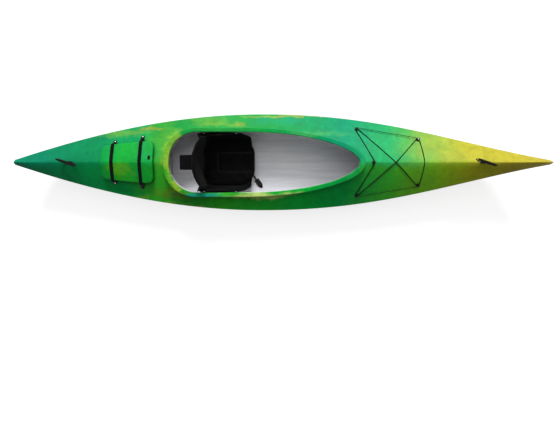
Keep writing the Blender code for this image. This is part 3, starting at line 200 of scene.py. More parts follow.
# Where each colour of the blended plastic lies along the boat, stern to bow, on its two sides. The starboard
# colours are painted shade: darker and less blue than the port colours, as the side turned away from the
# light looks.
hullColours = {
    "stern": -1.905,
    "length": 3.81,
    "paintedShadeReach": 0.040,
    "port": [(-1.905, "#008766"), (-1.62, "#008A62"), (-1.36, "#008F56"), (-1.20, "#009E58"),
             (-1.00, "#00A658"), (-0.90, "#34AC3A"), (-0.71, "#16A544"), (-0.42, "#2CB048"),
             (-0.15, "#14AE48"), (0.15, "#00A856"), (0.46, "#00A274"), (0.80, "#2CB86A"),
             (0.95, "#62BE58"), (1.14, "#A8C24A"), (1.34, "#C4C03C"), (1.905, "#C8B838")],
    "starboard": [(-1.905, "#00744A"), (-1.62, "#007A48"), (-1.36, "#008A44"), (-1.12, "#009A42"),
                  (-0.88, "#3AB428"), (-0.71, "#1C922C"), (-0.42, "#2EAE22"), (0.15, "#06B23C"),
                  (0.46, "#009C42"), (0.80, "#42BC30"), (1.14, "#88C820"), (1.36, "#B0B81C"),
                  (1.64, "#AAA01E"), (1.905, "#A89A22")],
    "patches": [                      # middle, half size, colour, share at the middle
        (-0.80, 0.10, 0.10, 0.20, "#74C038", 0.45),
        (-0.97, 0.238, 0.09, 0.018, "#C0AC3C", 0.60),
        (-1.15, 0.212, 0.20, 0.026, "#7CBA3C", 0.58),
        (-0.52, 0.30, 0.14, 0.030, "#84C440", 0.40),
        (-0.29, 0.29, 0.06, 0.020, "#C4B440", 0.40),
        (-0.40, 0.275, 0.20, 0.016, "#94C83E", 0.40),
        (-0.10, 0.31, 0.12, 0.045, "#08A874", 0.60),
        (0.10, 0.31, 0.16, 0.040, "#08AA84", 0.45),
        (-0.77, -0.235, 0.16, 0.04, "#7C7A0C", 0.40),
        (-1.10, -0.262, 0.16, 0.018, "#8CB42C", 0.55),
        (-0.85, -0.305, 0.14, 0.016, "#8CB42C", 0.50),
        (-0.60, -0.335, 0.16, 0.014, "#8CB42C", 0.50),
        # thin pale strip along the port gunwale's rounded edge: partly the blend's yellow, partly a painted
        # highlight where that edge faces the light
        (0.10, 0.345, 0.40, 0.014, "#B8C64A", 0.60),
        (-0.81, 0.0, 0.035, 0.17, "#9CCB3C", 0.80),
        (-0.75, -0.17, 0.05, 0.06, "#A8CC38", 0.85),
        (-0.75, 0.17, 0.05, 0.07, "#98CC40", 0.70),
        (-0.55, -0.236, 0.20, 0.022, "#0FA08A", 0.90),
        (-0.12, -0.236, 0.26, 0.030, "#CCE480", 0.95),
        (0.25, 0.21, 0.25, 0.02, "#58C66A", 0.50),
        (0.53, 0.0, 0.05, 0.12, "#0A9E4C", 0.75),
    ],
}


# Colours of the hull's sides below the gunwale: the blend's own colours along the boat, made darker than the
# deck's from the stern to the middle as painted shade, for sides that lie in shade.
sideColoursWithPaintedShade = {
    "stern": -1.905,
    "length": 3.81,
    "paintedShadeReach": 0.020,
    "port": [(-1.905, "#006E50"), (-1.20, "#007044"), (-0.85, "#087838"), (-0.58, "#1A7C30"),
             (-0.20, "#006E46"), (0.30, "#228028"), (0.60, "#149040"), (0.85, "#1A9844"),
             (1.06, "#46A23A"), (1.20, "#A49C2A"), (1.45, "#BAAE32"), (1.905, "#C4B638")],
    "patches": [
        (1.42, 0.0, 0.20, 0.12, "#C8BE48", 0.40),
    ],
}
sideColoursWithPaintedShade["starboard"] = sideColoursWithPaintedShade["port"]
# The lid's starboard colours are painted shade: darker and less blue than its port colours, as the side
# turned away from the light looks.
lidColours = {
    "stern": -1.273,
    "length": 0.373,
    "paintedShadeReach": 0.024,
    "port": [(-1.273, "#06A048"), (-1.21, "#0CAC48"), (-1.10, "#16B43A"), (-0.98, "#16B044"),
             (-0.90, "#1CAE44")],
    "starboard": [(-1.273, "#00803A"), (-1.20, "#149E34"), (-1.10, "#26AC24"), (-1.00, "#109E34"),
                  (-0.90, "#18A82C")],
    "patches": [
        (-1.085, -0.055, 0.075, 0.060, "#72B018", 0.50),
        (-1.16, -0.03, 0.04, 0.05, "#4FA81C", 0.60),
        (-0.955, 0.06, 0.03, 0.08, "#10AE60", 0.60),
    ],
}


def makeHullMaterial(name, p):
    # Rotomoulded polyethylene: coloured powders melt against the mould and run into each other, so
    # the blends are cloudy, and the skin has a waxy shine over a very fine orange peel.
    made, tree, shader = newMaterial(name, {"Roughness": 0.5, "IOR": 1.51, "Specular IOR Level": 0.09})
    place = addNode(tree, "TexCoord").outputs["Object"]
    cloud = addNode(tree, "TexNoise", {"Vector": place, "Scale": 5.0, "Detail": 5.0, "Roughness": 0.62})
    shift = addNode(tree, "VectorMath", {0: cloud.outputs["Color"], 1: (0.5, 0.5, 0.5)}, operation="SUBTRACT")
    pushed = addNode(tree, "VectorMath", {0: shift.outputs[0], 1: (0.30, 0.12, 0.12)}, operation="MULTIPLY")
    moved = addNode(tree, "VectorMath", {0: place, 1: pushed.outputs[0]}, operation="ADD").outputs[0]
    split = addNode(tree, "SeparateXYZ", {0: moved})
    share = addNode(tree, "MapRange", {"Value": split.outputs["X"], "From Min": p["stern"],
                                       "From Max": p["stern"] + p["length"]}).outputs[0]
    sides = []
    for side in ("port", "starboard"):
        stops = [((x - p["stern"]) / p["length"], colour) for x, colour in p[side]]
        sides.append(addNode(tree, "ValToRGB", {"Fac": share}, stops=stops).outputs[0])
    # painted shade: towards starboard the colour turns to the starboard ramp, which for the deck and lid is
    # darker and less blue than port
    over = addNode(tree, "MapRange", {"Value": split.outputs["Y"], "From Min": 0.03, "From Max": -0.05},
                   interpolation_type="SMOOTHSTEP").outputs[0]
    colour = addNode(tree, "Mix", {0: over, 6: sides[0], 7: sides[1]}, data_type="RGBA").outputs[2]
    flat = addNode(tree, "VectorMath", {0: moved, 1: (1.0, 1.0, 0.0)}, operation="MULTIPLY").outputs[0]
    drawn = addNode(tree, "VectorMath", {0: place, 1: (1.0, 2.6, 2.6)}, operation="MULTIPLY").outputs[0]
    ragged = addNode(tree, "TexNoise", {"Vector": drawn, "Scale": 11.0, "Detail": 9.0, "Roughness": 0.72})
    torn = addNode(tree, "MapRange", {"Value": ragged.outputs["Fac"], "From Min": 0.25, "From Max": 0.75,
                                      "To Min": -1.0, "To Max": 1.0}).outputs[0]
    for x, y, halfX, halfY, patch, strength in p["patches"]:
        away = addNode(tree, "VectorMath", {0: flat, 1: (x, y, 0.0)}, operation="SUBTRACT").outputs[0]
        scaled = addNode(tree, "VectorMath", {0: away, 1: (1 / halfX, 1 / halfY, 0.0)}, operation="MULTIPLY")
        far = addNode(tree, "VectorMath", {0: scaled.outputs[0]}, operation="LENGTH").outputs["Value"]
        edge = addNode(tree, "Math", {0: torn, 1: 0.6, 2: far}, operation="MULTIPLY_ADD").outputs[0]
        spread = {"Value": edge, "From Min": 1.3, "From Max": 0.2, "To Max": strength}
        blend = addNode(tree, "MapRange", spread, interpolation_type="SMOOTHSTEP").outputs[0]
        colour = addNode(tree, "Mix", {0: blend, 6: colour, 7: linear(patch)}, data_type="RGBA").outputs[2]
    swirl = addNode(tree, "TexNoise", {"Vector": place, "Scale": 16.0, "Detail": 6.0, "Roughness": 0.7,
                                       "Distortion": 0.6})
    tone = addNode(tree, "MapRange", {"Value": swirl.outputs["Fac"], "From Min": 0.3, "From Max": 0.7,
                                      "To Min": 0.80, "To Max": 1.16}).outputs[0]
    # painted shade: ambient occlusion darkens the colour in the corners under the lip and round the lid,
    # where shade falls
    corner = addNode(tree, "AmbientOcclusion", {"Distance": p["paintedShadeReach"]}, samples=8, only_local=False)
    paintedCornerShade = addNode(tree, "MapRange", {"Value": corner.outputs["AO"], "From Min": 0.25, "From Max": 0.85,
                                       "To Min": 0.10, "To Max": 1.0}).outputs[0]
    shaded = addNode(tree, "Math", {0: tone, 1: paintedCornerShade}, operation="MULTIPLY").outputs[0]
    toned = addNode(tree, "VectorMath", {0: colour, "Scale": shaded}, operation="SCALE").outputs[0]
    tree.links.new(toned, shader.inputs["Base Color"])
    # orange peel of 2.5 mm cells, drawn twice as coarse as real so that it shows
    peel = addNode(tree, "TexNoise", {"Vector": place, "Scale": 190.0, "Detail": 2.0, "Roughness": 0.5})
    ripple = addNode(tree, "TexNoise", {"Vector": place, "Scale": 26.0, "Detail": 3.0})
    height = addNode(tree, "Math", {0: ripple.outputs["Fac"], 1: 5.0, 2: peel.outputs["Fac"]},
                     operation="MULTIPLY_ADD").outputs[0]
    bump = addNode(tree, "Bump", {"Height": height, "Distance": 0.00022})
    tree.links.new(bump.outputs[0], shader.inputs["Normal"])
    rough = addNode(tree, "MapRange", {"Value": swirl.outputs["Fac"], "To Min": 0.42, "To Max": 0.54})
    tree.links.new(rough.outputs[0], shader.inputs["Roughness"])
    return made


def surface(tree, shader, pattern, stops, bump, grain=None):
    # the colours of a pattern, and how deep it, or a finer grain, is pressed into the surface
    colour = addNode(tree, "ValToRGB", {"Fac": pattern}, stops=stops)
    tree.links.new(colour.outputs[0], shader.inputs["Base Color"])
    if bump:
        pressed = addNode(tree, "Bump", {"Height": grain or pattern, "Distance": bump})
        tree.links.new(pressed.outputs[0], shader.inputs["Normal"])


def makeFabricMaterial(name, dark, pale, spacing):
    # 600-denier polyester in a plain weave: matt black with a soft sheen on the thread crowns.
    # Real threads lie 0.55 mm apart and are drawn as coarse as spacing, so that the weave shows.
    made, tree, shader = newMaterial(name, {"Roughness": 0.88, "IOR": 1.5, "Specular IOR Level": 0.06,
                                            "Sheen Weight": 0.02, "Sheen Roughness": 0.5})
    place = addNode(tree, "TexCoord").outputs["Object"]
    threads = []
    for direction in "XYZ":
        wave = addNode(tree, "TexWave", {"Vector": place, "Scale": math.pi / 10 / spacing, "Distortion": 0.0},
                       bands_direction=direction)
        threads.append(wave.outputs["Fac"])
    both = addNode(tree, "Math", {0: threads[0], 1: threads[1]}, operation="MULTIPLY").outputs[0]
    weave = addNode(tree, "Math", {0: both, 1: threads[2]}, operation="MAXIMUM").outputs[0]
    fuzz = addNode(tree, "TexNoise", {"Vector": place, "Scale": 30.0, "Detail": 6.0, "Roughness": 0.7})
    mixed = addNode(tree, "Math", {0: weave, 1: 0.35, 2: fuzz.outputs["Fac"]},
                    operation="MULTIPLY_ADD").outputs[0]
    surface(tree, shader, mixed, [(0.35, dark), (1.0, pale)], 0.0004, weave)
    return made


weaves = {
    # Polypropylene webbing: flat ribs across a herringbone, dull black, its edges a little paler.
    # Ribs lie 1.3 mm apart on the real thing and are drawn 2 mm apart, its herringbone 1.6 mm.
    "wovenPolypropyleneWebbing": {
        "shader": {"Roughness": 0.8, "IOR": 1.49, "Specular IOR Level": 0.08, "Sheen Weight": 0.02},
        "threads": ((0.0, "Y", 0.0020), (35.0, "X", 0.0016)),   # turned by, banded along, apart
        "ribShare": 0.6,
        "stops": [(0.2, "#030304"), (1.0, "#0E0E0F")],
        "bump": 0.0003,
    },
    # Braided polyester over rubber strands: two sets of crossing strands, 16 carriers round, so the
    # surface is a diamond lattice with a dull shine on each strand, 0.8 mm wide but drawn at 1.4 mm.
    "braidedPolyesterCord": {
        "shader": {"Roughness": 0.72, "IOR": 1.5, "Specular IOR Level": 0.1},
        "threads": ((48.0, "X", 0.0014), (-48.0, "X", 0.0014)),
        "stops": [(0.3, "#040405"), (1.0, "#131315")],
        "bump": 0.0004,
    },
}


def makeWoven(name):
    p = weaves[name]
    made, tree, shader = newMaterial(name, p["shader"])
    flat = addNode(tree, "UVMap", uv_map="metres").outputs[0]
    laid = []
    for turn, bands, apart in p["threads"]:
        turned = flat
        if turn:
            turns = (0.0, 0.0, math.radians(turn))
            turned = addNode(tree, "Mapping", {"Vector": flat, "Rotation": turns}).outputs[0]
        wave = addNode(tree, "TexWave", {"Vector": turned, "Scale": math.pi / 10 / apart, "Distortion": 0.0},
                       bands_direction=bands)
        laid.append(wave.outputs["Fac"])
    if "ribShare" in p:
        values, how = {0: laid[0], 1: p["ribShare"], 2: laid[1]}, "MULTIPLY_ADD"
    else:
        values, how = {0: laid[0], 1: laid[1]}, "MAXIMUM"
    both = addNode(tree, "Math", values, operation=how).outputs[0]
    surface(tree, shader, both, p["stops"], p["bump"])
    return made


finishes = {
    # Natural polyethylene, the foamed inner layer of the moulding: pale grey, chalky, and streaked
    # along the boat where the powder flowed, half a metre by 40 mm. Its pores are drawn 2.4 mm wide.
    "foamedInnerPolyethylene": {
        "shader": {"Roughness": 0.55, "IOR": 1.51, "Specular IOR Level": 0.35},
        "stretch": (2.0, 26.0, 26.0),
        "pattern": ("TexNoise", "Fac", {"Scale": 1.0, "Detail": 4.0, "Roughness": 0.6}),
        "stops": [(0.30, "#E2E2E8"), (0.55, "#F2F2F5"), (0.75, "#FCFCFD")],
        "grain": {"Scale": 420.0, "Detail": 2.0},
        "bump": 0.0002,
    },
    # Glass-filled nylon, injection moulded in a spark-eroded tool: near black with a dry fine grain
    # of 0.1 mm, drawn at 0.7 mm so that it shows.
    "mouldedBlackNylon": {
        "shader": {"Roughness": 0.5, "IOR": 1.53, "Specular IOR Level": 0.14},
        "pattern": ("TexVoronoi", "Distance", {"Scale": 1400.0}),
        "stops": [(0.0, "#060607"), (0.9, "#101011")],
        "bump": 0.00006,
    },
    # Black polyethylene, rotomoulded thick: softer and waxier than nylon, with orange peel of 4 mm
    # and grey scuffs 17 mm across.
    "rotomouldedBlackPolyethylene": {
        "shader": {"Roughness": 0.52, "IOR": 1.51, "Specular IOR Level": 0.12},
        "pattern": ("TexNoise", "Fac", {"Scale": 60.0, "Detail": 8.0, "Roughness": 0.75}),
        "stops": [(0.35, "#08080A"), (0.62, "#0F0F10"), (0.75, "#1A1A1B")],
        "grain": {"Scale": 260.0, "Detail": 2.0},
        "bump": 0.00025,
    },
    # Cross-linked polyethylene foam, cut with a hot wire: pale grey, its closed cells of 0.8 mm
    # drawn at 1.4 mm.
    "closedCellPolyethyleneFoam": {
        "shader": {"Roughness": 0.92, "IOR": 1.5, "Specular IOR Level": 0.15},
        "pattern": ("TexVoronoi", "Distance", {"Scale": 700.0}),
        "stops": [(0.0, "#B8B8BC"), (0.8, "#D4D4D8")],
        "bump": 0.0004,
    },
    # Stainless steel screws, tumbled bright: neutral grey metal whose faint scratches, drawn 1 mm
    # apart, break its shine up.
    "tumbledStainlessSteel": {
        "shader": {"Metallic": 1.0, "Roughness": 0.28},
        "pattern": ("TexNoise", "Fac", {"Scale": 900.0, "Detail": 3.0}),
        "stops": [(0.3, "#C4C4C8"), (0.7, "#D9D9DC")],
        "roughness": (0.2, 0.38),
    },
    # Thermoplastic rubber, moulded over the handle: dead black with a soft broad highlight, and
    # dusty in spots of 4 mm.
    "mouldedThermoplasticRubber": {
        "shader": {"Roughness": 0.66, "IOR": 1.52, "Specular IOR Level": 0.12},
        "pattern": ("TexNoise", "Fac", {"Scale": 220.0, "Detail": 5.0, "Roughness": 0.7}),
        "stops": [(0.35, "#060607"), (0.75, "#121213")],
        "bump": 0.00015,
    },
    # Bonded nylon sewing thread: charcoal with a slight silky shine that lifts the stitches. Its
    # twist of 0.4 mm is drawn at 1.1 mm.
    "bondedNylonThread": {
        "shader": {"Roughness": 0.5, "IOR": 1.53},
        "pattern": ("TexNoise", "Fac", {"Scale": 900.0, "Detail": 2.0}),
        "stops": [(0.3, "#1B1B1D"), (0.8, "#3A3A3D")],
    },
}


def makeFinish(name):
    # one pattern colours the piece, and the same pattern or a finer grain raises its surface
    p = finishes[name]
    made, tree, shader = newMaterial(name, p["shader"])
    place = addNode(tree, "TexCoord").outputs["Object"]
    laid = place
    if "stretch" in p:
        laid = addNode(tree, "VectorMath", {0: place, 1: p["stretch"]}, operation="MULTIPLY").outputs[0]
    kind, output, values = p["pattern"]
    pattern = addNode(tree, kind, {"Vector": laid, **values}).outputs[output]
    if "roughness" in p:
        low, high = p["roughness"]
        rough = addNode(tree, "MapRange", {"Value": pattern, "To Min": low, "To Max": high})
        tree.links.new(rough.outputs[0], shader.inputs["Roughness"])
    grain = None
    if "grain" in p:
        grain = addNode(tree, "TexNoise", {"Vector": place, **p["grain"]}).outputs["Fac"]
    surface(tree, shader, pattern, p["stops"], p.get("bump"), grain)
    return made


hullPlastic = makeHullMaterial("blendedRotomouldedPolyethylene", hullColours)
# the hull sides' material carries painted shade: its colours are darker than the deck's
sidePlasticWithPaintedShade = makeHullMaterial("blendedPolyethyleneHullSidesPaintedShade", sideColoursWithPaintedShade)
lidPlastic = makeHullMaterial("blendedPolyethyleneLid", lidColours)
innerPlastic = makeFinish("foamedInnerPolyethylene")
blackNylon = makeFinish("mouldedBlackNylon")
seatPlastic = makeFinish("rotomouldedBlackPolyethylene")
seatFabric = makeFabricMaterial("wovenPolyesterSeatCover", "#040405", "#0F0F11", 0.0016)
meshFabric = makeFabricMaterial("wovenPolyesterBackCover", "#040405", "#101012", 0.0022)
webbing = makeWoven("wovenPolypropyleneWebbing")
braidedCord = makeWoven("braidedPolyesterCord")
greyFoam = makeFinish("closedCellPolyethyleneFoam")
steel = makeFinish("tumbledStainlessSteel")
rubber = makeFinish("mouldedThermoplasticRubber")
thread = makeFinish("bondedNylonThread")
print("materials made")


def mix(a, b, share):
    return a + (b - a) * share


def smoothStep(low, high, value):
    share = min(1.0, max(0.0, (value - low) / (high - low)))
    return share * share * (3 - 2 * share)


hull = {
    "bowX": 1.905,
    "sternX": -1.905,
    "beam": 0.711,
    "wall": 0.005,
    "widestX": -0.13,
    "tipHalf": 0.016,
    "tipRounding": 0.012,
    "solidTip": 0.060,
    "bow": {"sharpness": 0.50, "planPower": 2.4, "sheerRise": 0.170, "sheerPower": 3.2,
            "ridgeRise": 0.063, "ridgePower": 5.5},
    "stern": {"sharpness": 0.05, "planPower": 2.0, "sheerRise": 0.090, "sheerPower": 3.0,
              "ridgeRise": 0.018, "ridgePower": 4.0},
    "sheer": 0.178,
    "ridgeAft": 0.272,
    "ridgeFore": 0.332,
    "ridgeRamp": (-1.35, 0.65),
    "bowRise": (0.344, 0.625),
    "sternRise": (0.2013, 0.405),
    "rocker": (0.0357, -0.60),
    "keelFlat": 0.050,
    "fullness": 2.9,
    "fullnessLost": 1.55,
    "crown": 1.25,
    "seamDrop": 0.004,
    "seamGap": 0.0006,
    "gunwaleRadius": 0.0035,
    "stations": 170,
    "crowding": 0.35,
    "bilgeSteps": 26,
    "deckShares": (0.02, 0.05, 0.09, 0.14, 0.20, 0.27, 0.34, 0.42, 0.50, 0.58, 0.66, 0.74, 0.82, 0.90, 0.96),
    "channel": (0.14, 0.48, 0.012, 0.0022),   # keel channel inside: ends, half width, depth
}


def endOf(x):
    return hull["bow"] if x > hull["widestX"] else hull["stern"]


def endShare(x):
    tip = hull["bowX"] if x > hull["widestX"] else hull["sternX"]
    return min(1.0, (x - hull["widestX"]) / (tip - hull["widestX"]))


def halfBeam(x):
    u = endShare(x)
    body = (1 - u ** endOf(x)["planPower"]) * (1 - endOf(x)["sharpness"] * u * u)
    return hull["tipHalf"] + (hull["beam"] / 2 - hull["tipHalf"]) * body


def sheer(x):
    return hull["sheer"] + endOf(x)["sheerRise"] * endShare(x) ** endOf(x)["sheerPower"]


def ridge(x):
    level = mix(hull["ridgeAft"], hull["ridgeFore"], smoothStep(*hull["ridgeRamp"], x))
    return level + endOf(x)["ridgeRise"] * endShare(x) ** endOf(x)["ridgePower"]


def keel(x):
    rise, length = hull["bowRise"]
    if x > hull["bowX"] - length:
        t = min(1.0, (x - hull["bowX"] + length) / length)
        return rise * (0.9 * t ** 1.75 + 0.1 * t ** 12)
    depth, start = hull["rocker"]
    if x > start:
        return 0.0
    height = depth * ((start - x) / (start - hull["sternX"])) ** 2
    rise, length = hull["sternRise"]
    if x < hull["sternX"] + length:
        t = min(1.0, (hull["sternX"] + length - x) / length)
        height += rise * (0.75 * t ** 1.7 + 0.25 * t ** 8)
    return height


def sectionAt(x, inset=0.0):
    u = endShare(x)
    flat = hull["keelFlat"] * (1 - u * u) + hull["tipHalf"] / 3
    return {
        "beam": halfBeam(x) - inset,
        "edge": sheer(x) - 0.3 * inset,
        "top": ridge(x) - 1.05 * inset,
        "low": keel(x) + inset,
        "flat": flat,
        "power": hull["fullness"] - hull["fullnessLost"] * u ** 1.5,
    }


def deckHeight(x, y, inset=0.0):
    s = sectionAt(x, inset)
    share = min(1.0, abs(y) / s["beam"])
    return s["edge"] + (s["top"] - s["edge"]) * (1 - share ** hull["crown"])


def bilge(x, inset, clearance):
    # port half of the hull's section, from the seam down to the flat of the keel
    s = sectionAt(x, inset)
    depth = s["edge"] - s["low"]
    drop = min(hull["seamDrop"] - 0.3 * inset + clearance, 0.45 * depth)
    start = math.asin((drop / depth) ** (s["power"] / 2))
    points = []
    for i in range(hull["bilgeSteps"] + 1):
        angle = mix(start, math.pi / 2, i / hull["bilgeSteps"])
        over = max(0.0, math.cos(angle)) ** (2 / s["power"])
        points.append((s["flat"] + (s["beam"] - s["flat"]) * over,
                       s["edge"] - depth * math.sin(angle) ** (2 / s["power"])))
    return points


def deckEdge(x, inset, clearance):
    # port half of the deck's section, from the seam over the gunwale up to the ridge
    s = sectionAt(x, inset)
    seamY, seamZ = bilge(x, inset, clearance)[0]
    radius = hull["gunwaleRadius"]
    points = [(seamY, seamZ)]
    if not inset:
        corner = Vector((s["beam"], s["edge"]))
        above = Vector((s["beam"] - radius, deckHeight(x, s["beam"] - radius)))
        below = Vector((seamY, mix(seamZ, s["edge"], 0.3)))
        for t in (0.0, 0.25, 0.5, 0.75, 1.0):
            at = below * (1 - t) ** 2 + corner * 2 * t * (1 - t) + above * t * t
            points.append((at.x, at.y))
    else:
        points.append((s["beam"], s["edge"]))
    for share in reversed(hull["deckShares"]):
        y = s["beam"] * share
        if y < s["beam"] - 1.3 * radius:
            points.append((y, deckHeight(x, y, inset)))
        else:
            points.append((s["beam"] - radius * (1.3 + 0.2 * share),
                           deckHeight(x, s["beam"] - radius * (1.3 + 0.2 * share), inset)))
    return points


def loft(rings, closedPath=False, looks=None, capLook=0):
    # a closed mesh through rings of equal counts; looks gives a material index per ring edge
    mesh = bmesh.new()
    loops = [[mesh.verts.new(point) for point in ring] for ring in rings]
    pairs = list(zip(loops, loops[1:]))
    if closedPath:
        pairs.append((loops[-1], loops[0]))
    for near, far in pairs:
        for i in range(len(near)):
            j = (i + 1) % len(near)
            face = mesh.faces.new((near[i], near[j], far[j], far[i]))
            face.material_index = looks[i] if looks else 0
    if not closedPath:
        for loop in (loops[0][::-1], loops[-1]):
            mesh.faces.new(loop).material_index = capLook
    bmesh.ops.remove_doubles(mesh, verts=mesh.verts, dist=1e-6)
    bmesh.ops.recalc_face_normals(mesh, faces=mesh.faces)
    return mesh


def show(name, mesh, materials, slot=None, node=None, body="root", sharp=30.0):
    # links a finished mesh; with a slot it is a piece of the object, on its body, for its CAD node
    data = bpy.data.meshes.new(name)
    mesh.to_mesh(data)
    mesh.free()
    piece = bpy.data.objects.new(name, data)
    scene.collection.objects.link(piece)
    for look in materials if isinstance(materials, (list, tuple)) else (materials,):
        data.materials.append(look)
    data.shade_smooth()
    data.set_sharp_from_angle(angle=math.radians(sharp))
    if slot:
        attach(piece, body)
    if node:
        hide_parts(node)
    return piece


def drop(piece):
    data = piece.data
    bpy.data.objects.remove(piece, do_unlink=True)
    bpy.data.meshes.remove(data)


def evaluated(piece):
    # the piece's mesh with its modifiers applied
    bpy.context.view_layer.update()
    seen = piece.evaluated_get(bpy.context.evaluated_depsgraph_get())
    return bpy.data.meshes.new_from_object(seen)


def bmeshOf(data):
    mesh = bmesh.new()
    mesh.from_mesh(data)
    bpy.data.meshes.remove(data)
    return mesh


def cutBy(mesh, steps, materials):
    # the mesh after each (cutter mesh, operation); returns a bmesh
    target = show("target", mesh, materials)
    tools = []
    for i, (cutter, operation) in enumerate(steps):
        tool = show("tool%d" % i, cutter, materials)
        tools.append(tool)
        modifier = target.modifiers.new("cut", "BOOLEAN")
        modifier.object = tool
        modifier.operation = operation
        modifier.solver = "EXACT"
    made = bmeshOf(evaluated(target))
    for piece in tools + [target]:
        drop(piece)
    bmesh.ops.remove_doubles(made, verts=made.verts, dist=1e-6)
    return made


def weighted(piece):
    # corners weighted by face size, so that flat stretches shade flat beside small radii
    modifier = piece.modifiers.new("weightedNormals", "WEIGHTED_NORMAL")
    modifier.keep_sharp = True


def hullStations():
    start = hull["sternX"] + hull["tipRounding"]
    end = hull["bowX"] - hull["tipRounding"]
    places = []
    for i in range(hull["stations"]):
        share = i / (hull["stations"] - 1)
        places.append(mix(start, end, mix(share, 0.5 - 0.5 * math.cos(math.pi * share), hull["crowding"])))
    return places


def moulding(halfOuter, halfInner):
    # a 5 mm moulding from stern to bow, solid in its two tips, which end rounded; green outside
    hollowStart = hull["sternX"] + hull["solidTip"]
    hollowEnd = hull["bowX"] - hull["solidTip"]
    places = hullStations()
    stops = [(x, hollowStart < x < hollowEnd) for x in places]
    stops += [(hollowStart, False), (hollowStart, True), (hollowEnd, False), (hollowEnd, True)]
    stops.sort(key=lambda stop: (stop[0], stop[1] if stop[0] < 0 else not stop[1]))
    rings = []
    for x, hollow in stops:
        rings.append(ringAt(x, halfOuter(x), halfInner(x), hollow))
    for end, x in ((-1, places[0]), (1, places[-1])):
        base = ringAt(x, halfOuter(x), halfInner(x), False)
        middle = Vector((0.0, 0.0, (ridge(x) + keel(x)) / 2))
        for i in range(1, 7):
            angle = math.radians(13.5 * i)
            ring = []
            for point in base:
                off = (point - middle) * math.cos(angle)
                ring.append(Vector((x + end * hull["tipRounding"] * math.sin(angle), off.y,
                                    middle.z + off.z)))
            rings.insert(0, ring) if end < 0 else rings.append(ring)
    outerCount = 2 * len(halfOuter(0.0)) - 1
    looks = [0 if i < outerCount else 1 for i in range(len(rings[0]))]
    looks[outerCount - 1] = looks[-1] = 0
    return loft(rings, looks=looks)


def bothHalves(x, half):
    # a whole section from its port half
    return [Vector((x, y, z)) for y, z in half] + [Vector((x, -y, z)) for y, z in reversed(half) if y > 0]


def ringAt(x, outer, inner, hollow):
    inside = [(-y, z) for y, z in inner] + [(y, z) for y, z in reversed(inner) if y > 0]
    if not hollow:
        wide, level = outer[0]
        count = len(inside) + 1
        inside = [(mix(-wide, wide, (i + 1) / count), level) for i in range(len(inside))]
    return bothHalves(x, outer) + [Vector((x, y, z)) for y, z in inside]


def innerFloor(x):
    # the hull's inside, with the shallow channel pressed along the keel
    points = bilge(x, hull["wall"], hull["seamGap"] / 2)
    low = points[-1][1]
    start, end, half, depth = hull["channel"]
    sunk = depth * smoothStep(start, start + 0.02, x) * smoothStep(end, end - 0.02, x)
    edge = min(half, 0.7 * points[-1][0])
    return points + [(edge + 0.0012, low), (edge, low - sunk), (0.0, low - sunk)]


def makeHullShell():
    def outer(x):
        return bilge(x, 0.0, hull["seamGap"] / 2) + [(0.0, sectionAt(x)["low"])]

    weighted(show("hullMoulding", moulding(outer, innerFloor), (sidePlasticWithPaintedShade, innerPlastic),
                  "hull_polyethylene", "hull_shell", sharp=40.0))


cockpit = {
    "half": 0.217,
    "aft": -0.786,
    "aftArc": 0.20,
    "fore": 0.570,
    "foreArc": 0.80,
    "points": 260,
    "lip": 0.032,
    "lipFore": 0.008,       # how much wider the lip is at its two ends
    "lipAft": 0.010,
    "lipDrop": 0.012,
    "rounding": 0.005,
    "height": 0.285,
    "riseFore": 0.069,
    "riseAft": 0.018,
    "lowX": -0.18,
}
hatch = {
    "aft": -1.273,
    "fore": -0.900,
    "halfAft": 0.120,
    "halfFore": 0.158,
    "squareness": 7.0,
    "points": 200,
    "rise": 0.030,
    "fallShare": 0.9,
    "wall": 0.004,
    "skirt": 0.028,
    "shoulder": 0.006,
    "rimClearance": 0.003,
    "rimWall": 0.006,
    "gasket": 0.004,
}
hatchMiddle = (hatch["aft"] + hatch["fore"]) / 2
hatchHalfLength = (hatch["fore"] - hatch["aft"]) / 2


def evenly(loop, count):
    # a closed loop of (x, y) points walked in equal steps from its first point
    lengths = [0.0]
    for a, b in zip(loop, loop[1:] + loop[:1]):
        lengths.append(lengths[-1] + math.hypot(b[0] - a[0], b[1] - a[1]))
    points = []
    at = 0
    for i in range(count):
        wanted = lengths[-1] * i / count
        while lengths[at + 1] < wanted:
            at += 1
        share = (wanted - lengths[at]) / (lengths[at + 1] - lengths[at])
        a, b = loop[at], loop[(at + 1) % len(loop)]
        points.append((mix(a[0], b[0], share), mix(a[1], b[1], share)))
    return points


def outset(loop, distance):
    # the loop moved outwards; it runs clockwise seen from above
    moved = []
    for i, (x, y) in enumerate(loop):
        before = loop[i - 1]
        after = loop[(i + 1) % len(loop)]
        run = Vector((after[0] - before[0], after[1] - before[1])).normalized()
        away = distance[i] if isinstance(distance, list) else distance
        moved.append((x - run.y * away, y + run.x * away))
    return moved


def cockpitLoop():
    steps = 200
    port = []
    for i in range(steps):
        angle = math.pi / 2 * i / steps
        port.append((cockpit["aft"] + cockpit["aftArc"] * (1 - math.cos(angle)),
                     cockpit["half"] * math.sin(angle) ** 0.9))
    for i in range(steps):
        angle = math.pi / 2 * i / steps
        port.append((cockpit["fore"] - cockpit["foreArc"] * (1 - math.sin(angle)),
                     cockpit["half"] * math.cos(angle) ** 1.1))
    port.append((cockpit["fore"], 0.0))
    return evenly(port + [(x, -y) for x, y in reversed(port[1:-1])], cockpit["points"])


def lipHeight(x):
    if x > cockpit["lowX"]:
        share = (x - cockpit["lowX"]) / (cockpit["fore"] + cockpit["lip"] - cockpit["lowX"])
        return cockpit["height"] + cockpit["riseFore"] * share ** 2.8
    share = (cockpit["lowX"] - x) / (cockpit["lowX"] - cockpit["aft"] + cockpit["lip"])
    return cockpit["height"] + cockpit["riseAft"] * share ** 2


